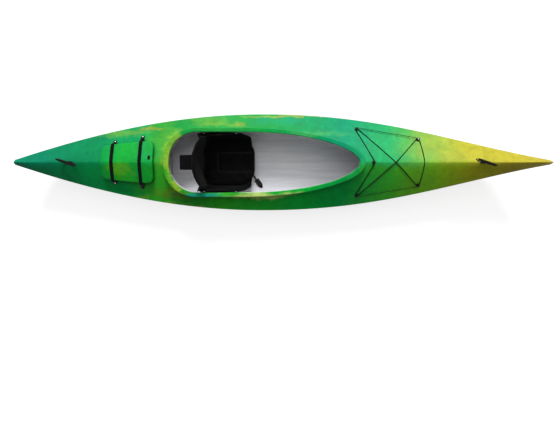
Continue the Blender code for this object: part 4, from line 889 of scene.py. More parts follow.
def coamingMesh():
    # riser out of the deck with a fillet at its foot, then the rolled lip that a spray deck grips
    loop = cockpitLoop()
    wall, soft = hull["wall"], cockpit["rounding"]
    widths = []
    for x, y in loop:
        fore = smoothStep(0.40, cockpit["fore"], x) * cockpit["lipFore"]
        aft = smoothStep(-0.62, cockpit["aft"], x) * cockpit["lipAft"]
        widths.append(cockpit["lip"] + fore + aft)
    arc = [math.radians(a) for a in (0, 30, 60, 90)]
    corners = [("deck", 0.0, -0.0026), ("lip", 0.0, 0.020)]
    corners += [("lip", soft * (1 - math.cos(a)), soft * (1 - math.sin(a))) for a in arc]
    corners += [("out", -0.60, 0.0002), ("out", -0.25, 0.0004)]
    corners += [("edge", soft * (1 - math.sin(a)), 0.0008 + soft * (1 - math.cos(a))) for a in arc]
    corners += [("edge", 0.0, cockpit["lipDrop"] - 0.001), ("edge", 0.001, cockpit["lipDrop"]),
                ("edge", 0.0032, cockpit["lipDrop"]), ("edge", 0.0042, cockpit["lipDrop"] - 0.001),
                ("edge", 0.0050, 0.0085), ("edge", 0.0070, 0.0066), ("lip", wall + 0.006, 0.0060),
                ("lip", wall + 0.002, 0.0072), ("lip", wall, 0.0105)]
    corners += [("foot", wall, 1.0), ("foot", wall + 0.0012, 0.6), ("foot", wall + 0.0036, 0.25),
                ("foot", wall + 0.0075, 0.06), ("foot", wall + 0.0100, 0.02),
                ("deck", wall + 0.0105, -0.0026)]
    loops = []
    for kind, away, fall in corners:
        if kind == "edge":
            distance = [w - away for w in widths]
        elif kind == "out":
            distance = [w * (1 + away) for w in widths]
        else:
            distance = away
        loops.append(outset(loop, distance))
    rings = []
    for i in range(len(loop)):
        top = lipHeight(loop[i][0])
        ring = []
        for (kind, away, fall), moved in zip(corners, loops):
            x, y = moved[i]
            if kind == "deck":
                z = deckHeight(x, y) + fall
            elif kind == "foot":
                room = top - 0.0115 - deckHeight(x, y)
                z = deckHeight(x, y) + fall * min(0.012, 0.8 * room)
            else:
                z = top - fall
            ring.append(Vector((x, y, z)))
        rings.append(ring)
    looks = [0] * len(corners)
    looks[0] = 1
    return loft(rings, closedPath=True, looks=looks)


def hatchHalf(x):
    return mix(hatch["halfAft"], hatch["halfFore"], (x - hatch["aft"]) / (hatch["fore"] - hatch["aft"]))


def hatchLoop():
    steps = 1200
    points = []
    for i in range(steps):
        angle = 2 * math.pi * i / steps
        along, over = -math.cos(angle), math.sin(angle)
        power = 2 / hatch["squareness"]
        x = hatchMiddle + hatchHalfLength * abs(along) ** power * (1 if along > 0 else -1)
        points.append((x, hatchHalf(x) * abs(over) ** power * (1 if over > 0 else -1)))
    return evenly(points, hatch["points"])


def lidTop(y):
    fall = (ridge(hatchMiddle) - sheer(hatchMiddle)) * (abs(y) / halfBeam(hatchMiddle)) ** hull["crown"]
    return ridge(hatch["fore"]) + hatch["rise"] - hatch["fallShare"] * fall


def lidEdge(x):
    along = abs(x - hatchMiddle) / hatchHalfLength
    return hatchHalf(x) * (1 - along ** hatch["squareness"]) ** (1 / hatch["squareness"])


def prism(loop, low, high):
    return loft([[Vector((x, y, z)) for x, y in loop] for z in (low, high)])


def profileRound(loop, corners, heightAt):
    # rings of (distance outwards, ...) corners round a loop; heightAt gives each point its height
    loops = [outset(loop, corner[0]) for corner in corners]
    return [[Vector((*moved[i], heightAt(corner, i, *moved[i]))) for corner, moved in zip(corners, loops)]
            for i in range(len(loop))]


def hatchRimMesh(loop, outer, inner):
    topDrop = hatch["wall"] + hatch["gasket"] + 0.0009
    corners = [(inner, "deck", -0.0026), (inner, "top", topDrop + 0.001), (inner + 0.001, "top", topDrop),
               (outer - 0.001, "top", topDrop), (outer, "top", topDrop + 0.001), (outer, "deck", 0.004),
               (outer + 0.0015, "deck", 0.0012), (outer + 0.004, "deck", 0.0003),
               (outer + 0.005, "deck", -0.0026)]

    def heightAt(corner, i, x, y):
        return deckHeight(x, y) + corner[2] if corner[1] == "deck" else lidTop(loop[i][1]) - corner[2]

    return loft(profileRound(loop, corners, heightAt), closedPath=True)


def makeDeckShell():
    def outer(x):
        return deckEdge(x, 0.0, -hull["seamGap"] / 2) + [(0.0, ridge(x))]

    def inner(x):
        s = sectionAt(x, hull["wall"])
        return deckEdge(x, hull["wall"], -hull["seamGap"] / 2) + [(0.0, s["top"])]

    materials = (hullPlastic, innerPlastic)
    loop = hatchLoop()
    rimOuter = -(hatch["wall"] + hatch["rimClearance"])
    rimInner = rimOuter - hatch["rimWall"]
    steps = [
        (prism(outset(cockpitLoop(), 0.0022), 0.15, 0.45), "DIFFERENCE"),
        (coamingMesh(), "UNION"),
        (prism(outset(loop, (rimOuter + rimInner) / 2), 0.21, 0.35), "DIFFERENCE"),
        (hatchRimMesh(loop, rimOuter, rimInner), "UNION"),
    ]
    mesh = cutBy(moulding(outer, inner), steps, materials)
    weighted(show("deckMoulding", mesh, materials, "hull_polyethylene", "deck_shell", sharp=40.0))


makeHullShell()
print("hull moulding made")
makeDeckShell()
print("deck moulding made")


def makeLid():
    # hatch lid: ridged like the deck, with a rounded shoulder and a turned-down skirt
    loop = hatchLoop()
    radius = hatch["shoulder"]

    def ring(points, fall):
        return [Vector((x, y, lidTop(y) - fall)) for x, y in points]

    def scaled(points, share):
        return [(mix(hatchMiddle, x, share), y * share) for x, y in points]

    shoulder = outset(loop, -radius)
    rings = [ring(scaled(shoulder, share), 0.0)
             for share in (0.02, 0.08, 0.18, 0.3, 0.42, 0.54, 0.66, 0.78, 0.88, 0.95)]
    for a in (0, 18, 36, 54, 72, 90):
        angle = math.radians(a)
        rings.append(ring(outset(loop, -radius * (1 - math.sin(angle))), radius * (1 - math.cos(angle))))
    inside = outset(loop, -hatch["wall"])
    seat = outset(loop, -(hatch["wall"] + hatch["rimClearance"] + hatch["rimWall"] + 0.002))
    skirt, wall = hatch["skirt"], hatch["wall"]
    bead = outset(loop, 0.0008)
    rings += [ring(loop, 0.016), ring(loop, skirt - 0.0055), ring(bead, skirt - 0.0045),
              ring(bead, skirt - 0.001), ring(outset(loop, 0.0), skirt), ring(outset(inside, 0.0008), skirt),
              ring(inside, skirt - 0.0008), ring(inside, wall + 0.002), ring(outset(inside, -0.002), wall),
              ring(seat, wall)]
    rings += [ring(scaled(seat, share), wall) for share in (0.85, 0.6, 0.3, 0.02)]
    weighted(show("hatchLid", loft(rings), lidPlastic, "hull_polyethylene", "hatch_lid", body="hatch",
                  sharp=40.0))


makeLid()
print("hatch lid made")


def boxOf(node, up=(0, 0, 1), ahead=(1, 0, 0)):
    # a CAD block's own place: its axes from its largest faces, its origin at its middle, its sizes
    data = nodes[node].data
    areas = {}
    for face in data.polygons:
        key = tuple(round(v, 2) for v in face.normal)
        total, area = areas.get(key, (Vector(), 0.0))
        areas[key] = (total + face.normal * face.area, area + face.area)

    def largest(hint, clearOf=None):
        hint = Vector(hint).normalized()
        fits = [(area, total.normalized()) for total, area in areas.values()
                if total.length and total.normalized().dot(hint) > 0.6
                and (clearOf is None or abs(total.normalized().dot(clearOf)) < 0.06)]
        return max(fits, key=lambda fit: fit[0])[1] if fits else hint

    z = largest(up)
    x = largest(ahead, z)
    x = (x - z * z.dot(x)).normalized()
    y = z.cross(x)
    middle = Vector()
    size = []
    for axis in (x, y, z):
        along = [corner.co.dot(axis) for corner in data.vertices]
        middle += axis * (max(along) + min(along)) / 2
        size.append(max(along) - min(along))
    turn = Matrix((x, y, z)).transposed().to_4x4()
    return Matrix.Translation(middle) @ turn, Vector(size)


def shifted(x, y, z):
    return Matrix.Translation((x, y, z))


def block(size, bevel=0.0, segments=3):
    # a box about its own middle, its edges rounded
    mesh = bmesh.new()
    bmesh.ops.create_cube(mesh, size=1.0)
    bmesh.ops.scale(mesh, vec=size, verts=mesh.verts)
    if bevel:
        bmesh.ops.bevel(mesh, geom=mesh.edges[:], offset=bevel, segments=segments, profile=0.5,
                        affect="EDGES")
    return mesh


def lathe(profile, steps=32, bored=False):
    # (radius, z) corners turned about Z; bored closes the profile on itself
    rings = []
    for i in range(steps):
        angle = 2 * math.pi * i / steps
        rings.append([Vector((r * math.cos(angle), r * math.sin(angle), z)) for r, z in profile])
    if bored:
        return loft(rings, closedPath=True)
    turned = [[ring[k] for ring in rings] for k in range(len(profile))]
    return loft(turned)


def joined(parts):
    # one mesh from pairs of a mesh and its place, or the list of its places
    whole = bmesh.new()
    for mesh, places in parts:
        for place in places if isinstance(places, list) else [places]:
            copy = mesh.copy()
            copy.transform(place)
            data = bpy.data.meshes.new("part")
            copy.to_mesh(data)
            copy.free()
            whole.from_mesh(data)
            bpy.data.meshes.remove(data)
    bmesh.ops.recalc_face_normals(whole, faces=whole.faces)
    return whole


def sweep(points, section, side=None, closedPath=False):
    # a section of (across, out) corners along points, with a map in metres: round, along
    count = len(points)
    mesh = bmesh.new()
    uv = mesh.loops.layers.uv.new("metres")
    rows = []
    travelled = [0.0]
    across = None
    for k, point in enumerate(points):
        before = points[k - 1] if k or closedPath else point
        after = points[(k + 1) % count] if k + 1 < count or closedPath else point
        run = (after - before).normalized()
        wanted = side if side is not None else across
        if wanted is None:
            wanted = Vector((0, 0, 1)).cross(run)
            if wanted.length < 0.1:
                wanted = Vector((0, 1, 0))
        across = (wanted - run * run.dot(wanted)).normalized()
        out = across.cross(run)
        rows.append([mesh.verts.new(point + across * a + out * b) for a, b in section])
        if k:
            travelled.append(travelled[-1] + (point - points[k - 1]).length)
    travelled.append(travelled[-1] + (points[0] - points[-1]).length)
    around = [0.0]
    for a, b in zip(section, section[1:] + section[:1]):
        around.append(around[-1] + math.hypot(b[0] - a[0], b[1] - a[1]))
    size = len(section)
    for k in range(count if closedPath else count - 1):
        near, far = rows[k], rows[(k + 1) % count]
        for i in range(size):
            j = (i + 1) % size
            face = mesh.faces.new((near[i], near[j], far[j], far[i]))
            for corner, (s, t) in zip(face.loops, ((i, k), (i + 1, k), (i + 1, k + 1), (i, k + 1))):
                corner[uv].uv = (around[s], travelled[t])
    if not closedPath:
        mesh.faces.new(rows[0][::-1])
        mesh.faces.new(rows[-1])
    bmesh.ops.recalc_face_normals(mesh, faces=mesh.faces)
    return mesh


def circle(radius, sides=14):
    return [(radius * math.cos(2 * math.pi * i / sides), radius * math.sin(2 * math.pi * i / sides))
            for i in range(sides)]


def bandSection(width, thickness):
    # webbing's rounded edges
    w, t = width / 2, thickness / 2
    return [(-w, -0.4 * t), (-w + 0.6 * t, -t), (w - 0.6 * t, -t), (w, -0.4 * t), (w, 0.4 * t),
            (w - 0.6 * t, t), (-w + 0.6 * t, t), (-w, 0.4 * t)]


def curved(stops, steps=8):
    # a smooth line through the stops
    points = []
    padded = [stops[0] * 2 - stops[1]] + list(stops) + [stops[-1] * 2 - stops[-2]]
    for a, b, c, d in zip(padded, padded[1:], padded[2:], padded[3:]):
        for i in range(steps):
            t = i / steps
            points.append(0.5 * (b * 2 + (c - a) * t + (a * 2 - b * 5 + c * 4 - d) * t * t
                                 + (b * 3 - a - c * 3 + d) * t ** 3))
    return points + [stops[-1].copy()]


screw = {
    "radius": 0.0042,
    "height": 0.0019,
    "recess": (0.0044, 0.0009, 0.0014),   # length, width and depth of the cross
}


def screwHead(p):
    # pan head with a cross recess
    r, h = p["radius"], p["height"]
    profile = [(0.0003, h), (0.35 * r, 0.97 * h), (0.62 * r, 0.84 * h), (0.84 * r, 0.6 * h),
               (0.96 * r, 0.3 * h), (r, 0.0), (r, -0.0008)]
    long, wide, deep = p["recess"]
    steps = [(joined([(block(size), shifted(0, 0, h))]), "DIFFERENCE")
             for size in ((long, wide, deep), (wide, long, deep))]
    return cutBy(lathe(profile, 28), steps, (steel,))


headMesh = screwHead(screw)


def placedScrew(name, place, node=None, black=False):
    look, slot = (blackNylon, "black_nylon") if black else (steel, "stainless_steel")
    show(name, joined([(headMesh, place)]), look, slot, node)


straps = {
    "rear": -1.192,
    "front": -0.992,
    "width": 0.025,
    "thickness": 0.0016,
    "lift": 0.0006,
    "rootInset": 0.0011,
    "rootRise": 0.0012,
    "crest": 0.012,         # half length over which the webbing bends across the ridge
    "buckleWidth": 0.031,
    "plate": 0.003,
    "pullTab": (0.016, 0.0014, 0.0128),   # width, thickness and half length of its loop
}


def strapOverLid(p, x):
    # centre line across the lid, port edge to starboard edge, in (y, z)
    lift = p["thickness"] / 2 + p["lift"]
    edge = max(lidEdge(x - p["buckleWidth"] / 2), lidEdge(x + p["buckleWidth"] / 2))
    radius = hatch["shoulder"]
    port = [(edge + lift, lidTop(edge) - 0.012)]
    for a in (90, 72, 54, 36, 18):
        angle = math.radians(a)
        y = edge - radius + (radius + lift) * math.sin(angle)
        port.append((y, lidTop(min(y, edge)) - radius + (radius + lift) * math.cos(angle)))
    shoulder = edge - radius
    for i in range(14):
        y = shoulder * (1 - i / 14)
        z = lidTop(max(y, p["crest"])) + lift
        if y < p["crest"]:
            z += (lidTop(0.0) - lidTop(p["crest"]) + 0.0004) * (1 - (y / p["crest"]) ** 2)
        port.append((y, z))
    crest = lidTop(0.0) + lift + 0.0004
    return port + [(0.0, crest)] + [(-y, z) for y, z in reversed(port)]


def makeHatchFittings(p):
    # straps over the lid, their anchor plates and the side-release buckles to starboard
    section = bandSection(p["width"], p["thickness"])
    for row in ("rear", "front"):
        x = p[row]
        plates = {}
        for side, lean in (("port", 0.3), ("starboard", -0.3)):
            node = "hatch_anchor_%s_%s" % (row, side)
            place, size = boxOf(node, (0, lean, 1))
            base = place @ shifted(0, 0, -size.z / 2)
            plates[side] = base
            thick = p["plate"]
            washer = lathe([(0.0003, 0.0007), (0.0052, 0.0007), (0.0060, 0.0003), (0.0060, -0.0004)], 28)
            plate = joined([(block((size.x, size.y, thick), 0.0013), shifted(0, 0, thick / 2)),
                            (washer, shifted(0, 0, thick))])
            plate.transform(base)
            show("anchorPlate_%s_%s" % (row, side), plate, blackNylon, "black_nylon", node)
            placedScrew("anchorScrew_%s_%s" % (row, side), base @ shifted(0, 0, thick + 0.0007)
                        @ Matrix.Rotation(0.7 if side == "port" else 0.2, 4, "Z"),
                        black=(row, side) == ("front", "starboard"))
        reach = Vector((0, p["rootInset"] - 0.009, p["plate"] + p["rootRise"]))
        root = plates["port"] @ reach
        over = [Vector((x, y, z)) for y, z in strapOverLid(p, x)]
        male, maleSize = boxOf("hatch_buckle_male_" + row, (0, -0.6, 0.8))
        female, femaleSize = boxOf("hatch_buckle_female_" + row, (0, -0.6, 0.8))
        down = (female.translation - male.translation).normalized()
        mouth = male.translation - down * maleSize.y * 0.35
        lead = [root + (over[0] - root) * t for t in (0.0, 0.35, 0.7)]
        tail = [over[-1] + (mouth - over[-1]) * t for t in (0.35, 0.7, 1.0)]
        path = lead + over + tail
        show("hatchStrap_" + row, sweep(path, section, Vector((1, 0, 0))), webbing, "webbing",
             "hatch_strap_" + row, body="hatch")
        makeBuckle(row, male, maleSize, female, femaleSize, down)
        foot = plates["starboard"] @ Vector((reach.x, -reach.y, reach.z))
        tabStart = female.translation + down * femaleSize.y * 0.35
        tab = [tabStart, tabStart.lerp(foot, 0.5) + Vector((0, 0, 0.0004)), foot,
               foot + (foot - tabStart) * 0.12]
        show("hatchStrapTab_" + row, sweep(tab, section, Vector((1, 0, 0))), webbing, "webbing",
             "hatch_strap_tab_" + row)
    place, size = boxOf("hatch_pull_tab")
    wide, thick, half = p["pullTab"]
    loopPath = [(-half, -0.0008), (half * 0.6, -0.0008), (half, -0.0004), (half + 0.0008, 0.0004),
                (half, 0.0012), (half * 0.6, 0.0014), (-half, 0.0010)]
    path = [place @ Vector((0, a, b)) for a, b in loopPath]
    across = place.to_3x3() @ Vector((1, 0, 0))
    show("hatchPullTab", sweep(curved(path, 4), bandSection(wide, thick), across), webbing, "webbing",
         "hatch_pull_tab", body="hatch")


def makeBuckle(row, male, maleSize, female, femaleSize, down):
    # side-release buckle: the two prongs of the male half show in the female half's side windows
    for kind, place, size, body in (("male", male, maleSize, "hatch"),
                                    ("female", female, femaleSize, "root")):
        wide, long, thick = size
        turn = 1.0 if (place.to_3x3() @ Vector((0, 1, 0))).dot(down) > 0 else -1.0
        if kind == "male":
            shell = block((wide - 0.003, long, thick - 0.001), 0.0014)
            slotWide, slotAt = wide - 0.0065, -turn * long * 0.22
            steps = []
            rib = block((wide * 0.6, 0.0012, 0.0007), 0.0003)
            extras = [(rib, [shifted(0, turn * (0.0006 + 0.0018 * i), thick / 2 - 0.0005) for i in range(3)])]
        else:
            shell = block((wide, long, thick), 0.0016)
            slotWide, slotAt = wide - 0.0075, turn * long * 0.30
            window = block((0.006, long * 0.55, 0.0030), 0.0006)
            windows = joined([(window, [shifted(s * wide / 2, -turn * 0.001, 0) for s in (-1, 1)])])
            steps = [(windows, "DIFFERENCE")]
            pad = block((wide * 0.45, long * 0.42, 0.0009), 0.0004)
            prong = block((0.0034, long * 0.5, 0.0022), 0.0006)
            extras = [(pad, shifted(0, -turn * 0.0008, thick / 2)),
                      (prong, [shifted(s * (wide / 2 - 0.0022), -turn * 0.001, 0) for s in (-1, 1)])]
        slot = joined([(block((slotWide, 0.0026, thick * 2)), shifted(0, slotAt, 0))])
        housing = cutBy(shell, steps + [(slot, "DIFFERENCE")], (blackNylon,))
        mesh = joined([(housing, Matrix())] + extras)
        mesh.transform(place)
        show("hatchBuckle_%s_%s" % (kind, row), mesh, blackNylon, "black_nylon",
             "hatch_buckle_%s_%s" % (kind, row), body=body)


makeHatchFittings(straps)
print("hatch straps and buckles made")


handles = {
    "cord": 0.0064,
    "gripLength": 0.122,
    "height": 0.044,
    "yaw": -20.0,
    "spacing": 0.038,
    "bushing": 0.006,
    "plate": 0.003,
    "ribs": 15,
}


def bezier(a, b, c, d, steps):
    points = []
    for i in range(steps + 1):
        t = i / steps
        s = 1 - t
        points.append(a * s ** 3 + b * 3 * s * s * t + c * 3 * s * t * t + d * t ** 3)
    return points


def gripProfile(p):
    # hand grip: fat in the middle, ringed, with a bead at each end, bored for the cord
    half = p["gripLength"] / 2
    bore = p["cord"] / 2 + 0.0004
    outer = [(bore + 0.001, half), (0.0072, half), (0.0088, half - 0.0012), (0.0096, half - 0.004),
             (0.0088, half - 0.008), (0.0084, half - 0.0095)]
    ringed = half - 0.012
    count = p["ribs"]
    for i in range(count):
        start = ringed - 2 * ringed * i / count
        step = 2 * ringed / count
        middle = 1 - abs(start - step / 2) / half
        swell = 0.0088 + 0.0010 * smoothStep(0.0, 0.7, middle)
        outer += [(swell - 0.0004, start - 0.08 * step), (swell, start - 0.22 * step),
                  (swell, start - 0.70 * step), (swell - 0.0004, start - 0.84 * step),
                  (swell - 0.0014, start - 0.90 * step)]
    outer += [(r, -z) for r, z in reversed(outer[:6])]
    return outer + [(bore, -half + 0.001), (bore, half - 0.001)]


def makeHandle(p, name):
    plate, size = boxOf(name + "_handle_fairlead")
    base = plate @ shifted(0, 0, -size.z / 2)
    body = name + "_handle"
    thick = p["plate"]
    ends = [shifted(s * p["spacing"] / 2, 0, 0) for s in (-1, 1)]
    boss = lathe([(0.0034, p["bushing"]), (0.0058, p["bushing"]), (0.0068, p["bushing"] - 0.0008),
                  (0.0072, thick + 0.0012), (0.0080, thick), (0.0080, thick - 0.001),
                  (0.0034, thick - 0.001)], 28, bored=True)
    foot = block((size.x, size.y, thick), 0.0013)
    fairlead = joined([(foot, shifted(0, 0, thick / 2)), (boss, ends)])
    fairlead.transform(base)
    show(name + "HandleFairlead", fairlead, blackNylon, "black_nylon", name + "_handle_fairlead")
    for i, s in enumerate((-1, 1)):
        placedScrew("%sHandleScrew%d" % (name, i), base @ shifted(s * (size.x / 2 - 0.0048), 0, thick)
                    @ Matrix.Rotation(0.5 + i, 4, "Z") @ Matrix.Scale(0.9, 4))
    yaw = Matrix.Rotation(math.radians(p["yaw"]), 4, "Z")
    gripPlace = base @ shifted(0, 0, p["height"]) @ yaw @ Matrix.Rotation(math.pi / 2, 4, "Y")
    show(name + "HandleGrip", joined([(lathe(gripProfile(p), 40, bored=True), gripPlace)]), rubber,
         "black_rubber", body + "_grip", body=body, sharp=35.0)
    half = p["gripLength"] / 2
    level = p["bushing"] + 0.0003 + p["cord"] / 2
    legs = []
    for s in (-1, 1):
        start = Vector((s * p["spacing"] / 2, 0, level))
        end = yaw @ Vector((s * (half - 0.004), 0, 0)) + Vector((0, 0, p["height"]))
        out = yaw @ Vector((s * 0.044, 0, 0))
        legs.append(bezier(start, start + Vector((s * 0.030, 0, 0.004)), end + out, end, 30))
    for s, leg in zip((-1, 1), legs):
        stub = [Vector((s * p["spacing"] / 2, 0, level - 0.0016)),
                Vector((s * p["spacing"] / 2, 0, level - 0.0008))]
        points = [base @ point for point in stub + leg]
        show("%sHandleCord%s" % (name, "Aft" if s < 0 else "Fore"), sweep(points, circle(p["cord"] / 2)),
             braidedCord, "black_cord", body + "_cord" if s < 0 else None, body=body)


for end in ("bow", "stern"):
    makeHandle(handles, end)
print("carrying handles made")


rigging = {
    "buttons": {"aft": (0.565, 0.240), "fore": (1.004, 0.163), "middle": (0.668, 0.0)},
    "radius": 0.011,
    "core": 0.006,
    "height": 0.015,
    "flange": 0.003,
    "bungee": 0.005,
    "line": 0.0035,
    "bow": 0.012,
    "gap": 0.0003,
}


def taut(start, end, radius, crossing=None):
    # a cord pulled tight over the deck; crossing lifts it over another cord
    steps = 120
    wanted = []
    for i in range(steps + 1):
        share = i / steps
        point = start.lerp(end, share)
        near = min((start, end), key=lambda stop: (point - stop).length)
        if 0 < i < steps:
            x = point.x + (rigging["bow"] * 4 * share * (1 - share) if crossing == "bowed" else 0.0)
            height = deckHeight(x, point.y) + radius + 3 * rigging["gap"]
            if (point - near).length < rigging["radius"]:
                height = max(height, near.z)
            if isinstance(crossing, Vector):
                away = (point - crossing).xy.length
                if away < 0.012:
                    height += (2 * radius + rigging["gap"]) * smoothStep(0.012, 0.005, away)
            point = Vector((x, point.y, height))
        wanted.append((share, point))
    taken = []
    for share, point in wanted:
        while len(taken) > 1:
            (s0, p0), (s1, p1) = taken[-2], taken[-1]
            if (p1.z - p0.z) * (share - s0) > (point.z - p0.z) * (s1 - s0):
                break
            taken.pop()
        taken.append((share, point))
    points = []
    at = 0
    for share, point in wanted[::3]:
        while at + 2 < len(taken) and taken[at + 1][0] < share:
            at += 1
        (s0, p0), (s1, p1) = taken[at], taken[at + 1]
        t = min(1.0, max(0.0, (share - s0) / (s1 - s0)))
        points.append(Vector((point.x, point.y, mix(p0.z, p1.z, t))))
    return points


def wrap(place, radius, height, turn, start, finish):
    # points round a button from one heading to another, left for +1 and right for -1
    arc = (finish - start) * turn % (2 * math.pi)
    steps = max(4, round(arc / 0.3))
    points = []
    for i in range(steps + 1):
        heading = start + turn * arc * i / steps
        points.append(place @ Vector((turn * radius * math.sin(heading), -turn * radius * math.cos(heading),
                                      height)))
    return points


def headingBetween(first, second, radius):
    runX, runY = second[0] - first[0], second[1] - first[1]
    return math.atan2(runY, runX) - math.asin((second[2] - first[2]) * radius / math.hypot(runX, runY))


def buttonMesh(p):
    # bollard with a wide foot and cap; the cord lies in the groove between
    top, r, c, f = p["height"], p["radius"], p["core"], p["flange"]
    return lathe([(0.0046, top - 0.0012), (0.0050, top), (r - 0.0016, top), (r - 0.0005, top - 0.0004),
                  (r, top - 0.0012), (r - 0.0004, top - 0.0022), (c + 0.0016, top - 0.0034),
                  (c, top - 0.0050), (c, f + 0.0012), (c + 0.0012, f), (r - 0.0008, f - 0.0004),
                  (r, f - 0.0012), (r, 0.0)], 36)


def makeRigging(p):
    places = {}
    shape = buttonMesh(p)
    for row, (x, y) in p["buttons"].items():
        for side in ((1, -1) if y else (1,)):
            word = "" if not y else "_port" if side > 0 else "_starboard"
            node = "deck_button_" + row + word
            place, size = boxOf(node, (0, 0.3 * side if y else 0, 1))
            up = place.to_3x3() @ Vector((0, 0, 1))
            ahead = (Vector((1, 0, 0)) - up * up.x).normalized()
            turn = Matrix((ahead, up.cross(ahead), up)).transposed().to_4x4()
            base = Matrix.Translation(place.translation - up * size.z / 2) @ turn
            places[x, side * y] = base
            show("deckButton_" + row + word, joined([(shape, base)]), blackNylon, "black_nylon", node)
            placedScrew("deckButtonScrew_" + row + word, base @ shifted(0, 0, p["height"] - 0.0008)
                        @ Matrix.Rotation(x * 9 + side, 4, "Z"), black=(row, side) != ("fore", 1))
    foreX, foreY = p["buttons"]["fore"]
    aftX, aftY = p["buttons"]["aft"]
    midX = p["buttons"]["middle"][0]
    radius = p["core"] + p["bungee"] / 2 + p["gap"]
    height = p["flange"] + p["bungee"] / 2 + p["gap"]
    stops = [(foreX, -foreY, -1), (aftX, aftY, 1), (midX, 0.0, -1), (aftX, -aftY, 1), (foreX, foreY, -1)]
    count = len(stops)
    headings = [headingBetween(stops[i], stops[(i + 1) % count], radius) for i in range(count)]
    arcs = [wrap(places[x, y], radius, height, turn, headings[i - 1], headings[i])
            for i, (x, y, turn) in enumerate(stops)]
    crossing = Vector((mix(foreX, aftX, foreY / (foreY + aftY)), 0.0, 0.0))
    lifts = [None, None, None, crossing, "bowed"]
    points = []
    for i in range(count):
        points += arcs[i][:-1]
        points += taut(arcs[i][-1], arcs[(i + 1) % count][0], p["bungee"] / 2, lifts[i])[:-1]
    show("foredeckBungee", sweep(points, circle(p["bungee"] / 2), closedPath=True), braidedCord,
         "black_cord", "deck_bungee")
    radius = p["core"] + p["line"] / 2 + p["gap"]
    height += p["bungee"] / 2 + p["line"] / 2 + p["gap"]
    for side, sign in (("port", 1), ("starboard", -1)):
        first = (aftX, sign * aftY, -sign)
        second = (foreX, sign * foreY, -sign)
        heading = headingBetween(first, second, radius)
        start = wrap(places[first[:2]], radius, height, -sign, heading + sign * 1.5 * math.pi, heading)
        finish = wrap(places[second[:2]], radius, height, -sign, heading, heading - sign * 1.5 * math.pi)
        run = taut(start[-1], finish[0], p["line"] / 2)
        show("deckLine_" + side, sweep(start[:-1] + run + finish[1:], circle(p["line"] / 2, 12)),
             braidedCord, "black_cord", "deck_line_" + side)


makeRigging(rigging)
print("deck rigging made")


seat = {
    "aft": -0.611,
    "fore": -0.206,
    "base": 0.050,
    "wall": 0.005,
    "halfFlat": 0.142,
    "corner": (0.110, 0.050),       # length and depth of its rounded front corners
    "wing": ((0.037, 0.020), (0.013, 0.060), (0.0, 0.098)),
    "wingTop": 0.270,
    "wingFore": 0.150,
    "clear": 0.0008,
    "skidSpacing": 0.190,
    "skidWidth": 0.030,
    "pivot": (-0.591, 0.135),
    "lugSpacing": 0.240,
    "lugWidth": 0.020,
    "lugPlate": 0.006,
    "pin": 0.004,
    "padLength": 0.392,
    "padFore": -0.183,
    "padHalf": 0.170,
    "padThick": 0.044,
    "channel": 0.070,               # the sewn channels: two run fore and aft, one joins them
    "crossing": 0.085,
    "puff": 0.009,                  # how far the cover may swell
}
bothSides = (("port", Matrix()), ("starboard", Matrix.Scale(-1, 4, (0, 1, 0))))


def coamingHalf(x):
    loop = cockpitLoop()
    for (x0, y0), (x1, y1) in zip(loop, loop[1:]):
        if x0 <= x <= x1 and y1 >= 0:
            return mix(y0, y1, (x - x0) / (x1 - x0))
    return 0.0


def panHalf(p, x):
    length, depth = p["corner"]
    share = max(0.0, (x - p["fore"] + length) / length)
    return coamingHalf(x) - p["clear"] - depth * (1 - (1 - min(1.0, share * share)) ** 0.5)


def panWing(p, x):
    rise = smoothStep(p["aft"], p["aft"] + 0.065, x)
    fall = smoothStep(p["fore"] - 0.11, p["fore"], x)
    return p["wingTop"] - (p["wingTop"] - p["wingFore"]) * (1 - rise + fall)


def panRing(p, x):
    # half the pan's section: flat base, rounded bilge and an upright wing with a rounded edge
    outside = panHalf(p, x)
    top = panWing(p, x)
    flat = min(p["halfFlat"], outside - 1.5 * p["wing"][0][0])
    stops = [Vector((y, z)) for y, z in ((0.0, p["base"]), (flat * 0.5, p["base"] + 0.0006),
                                         (flat, p["base"] + 0.002))]
    stops += [Vector((outside - inset, p["base"] + rise)) for inset, rise in p["wing"]]
    stops.append(Vector((outside, max(top - 0.002, p["base"] + 0.0985))))
    line = curved(stops, 5)
    inner = []
    for i, point in enumerate(line):
        run = (line[min(i + 1, len(line) - 1)] - line[max(i - 1, 0)]).normalized()
        inner.append(point + Vector((-run.y, run.x)) * p["wall"])
    inner[0].x = 0.0
    rim = [Vector((outside - 0.0016, top)), Vector((outside - p["wall"] + 0.0016, top))]
    return bothHalves(x, [(v.x, v.y) for v in line + rim + inner[::-1]])


def floorHeight(x, y):
    # the hull's inside floor
    points = bilge(x, hull["wall"], hull["seamGap"] / 2)
    for (y1, z1), (y0, z0) in zip(points, points[1:]):
        if y0 <= abs(y) <= y1:
            return mix(z0, z1, (abs(y) - y0) / max(1e-9, y1 - y0))
    return points[-1][1]


def panTop(p, y):
    start = p["base"] + p["wall"]
    if y <= p["halfFlat"]:
        return start + 0.002 * y / p["halfFlat"]
    return start + 0.002 + 0.6 * (y - p["halfFlat"])


def turnedAcross(x, z):
    return shifted(x, 0, z) @ Matrix.Rotation(math.pi / 2, 4, "X")


def boreMesh(p, clearance):
    reach = p["lugSpacing"] / 2 + 0.03
    return joined([(lathe([(0.0002, reach), (p["pin"] + clearance, reach), (p["pin"] + clearance, -reach),
                           (0.0002, -reach)], 24), turnedAcross(*p["pivot"]))])


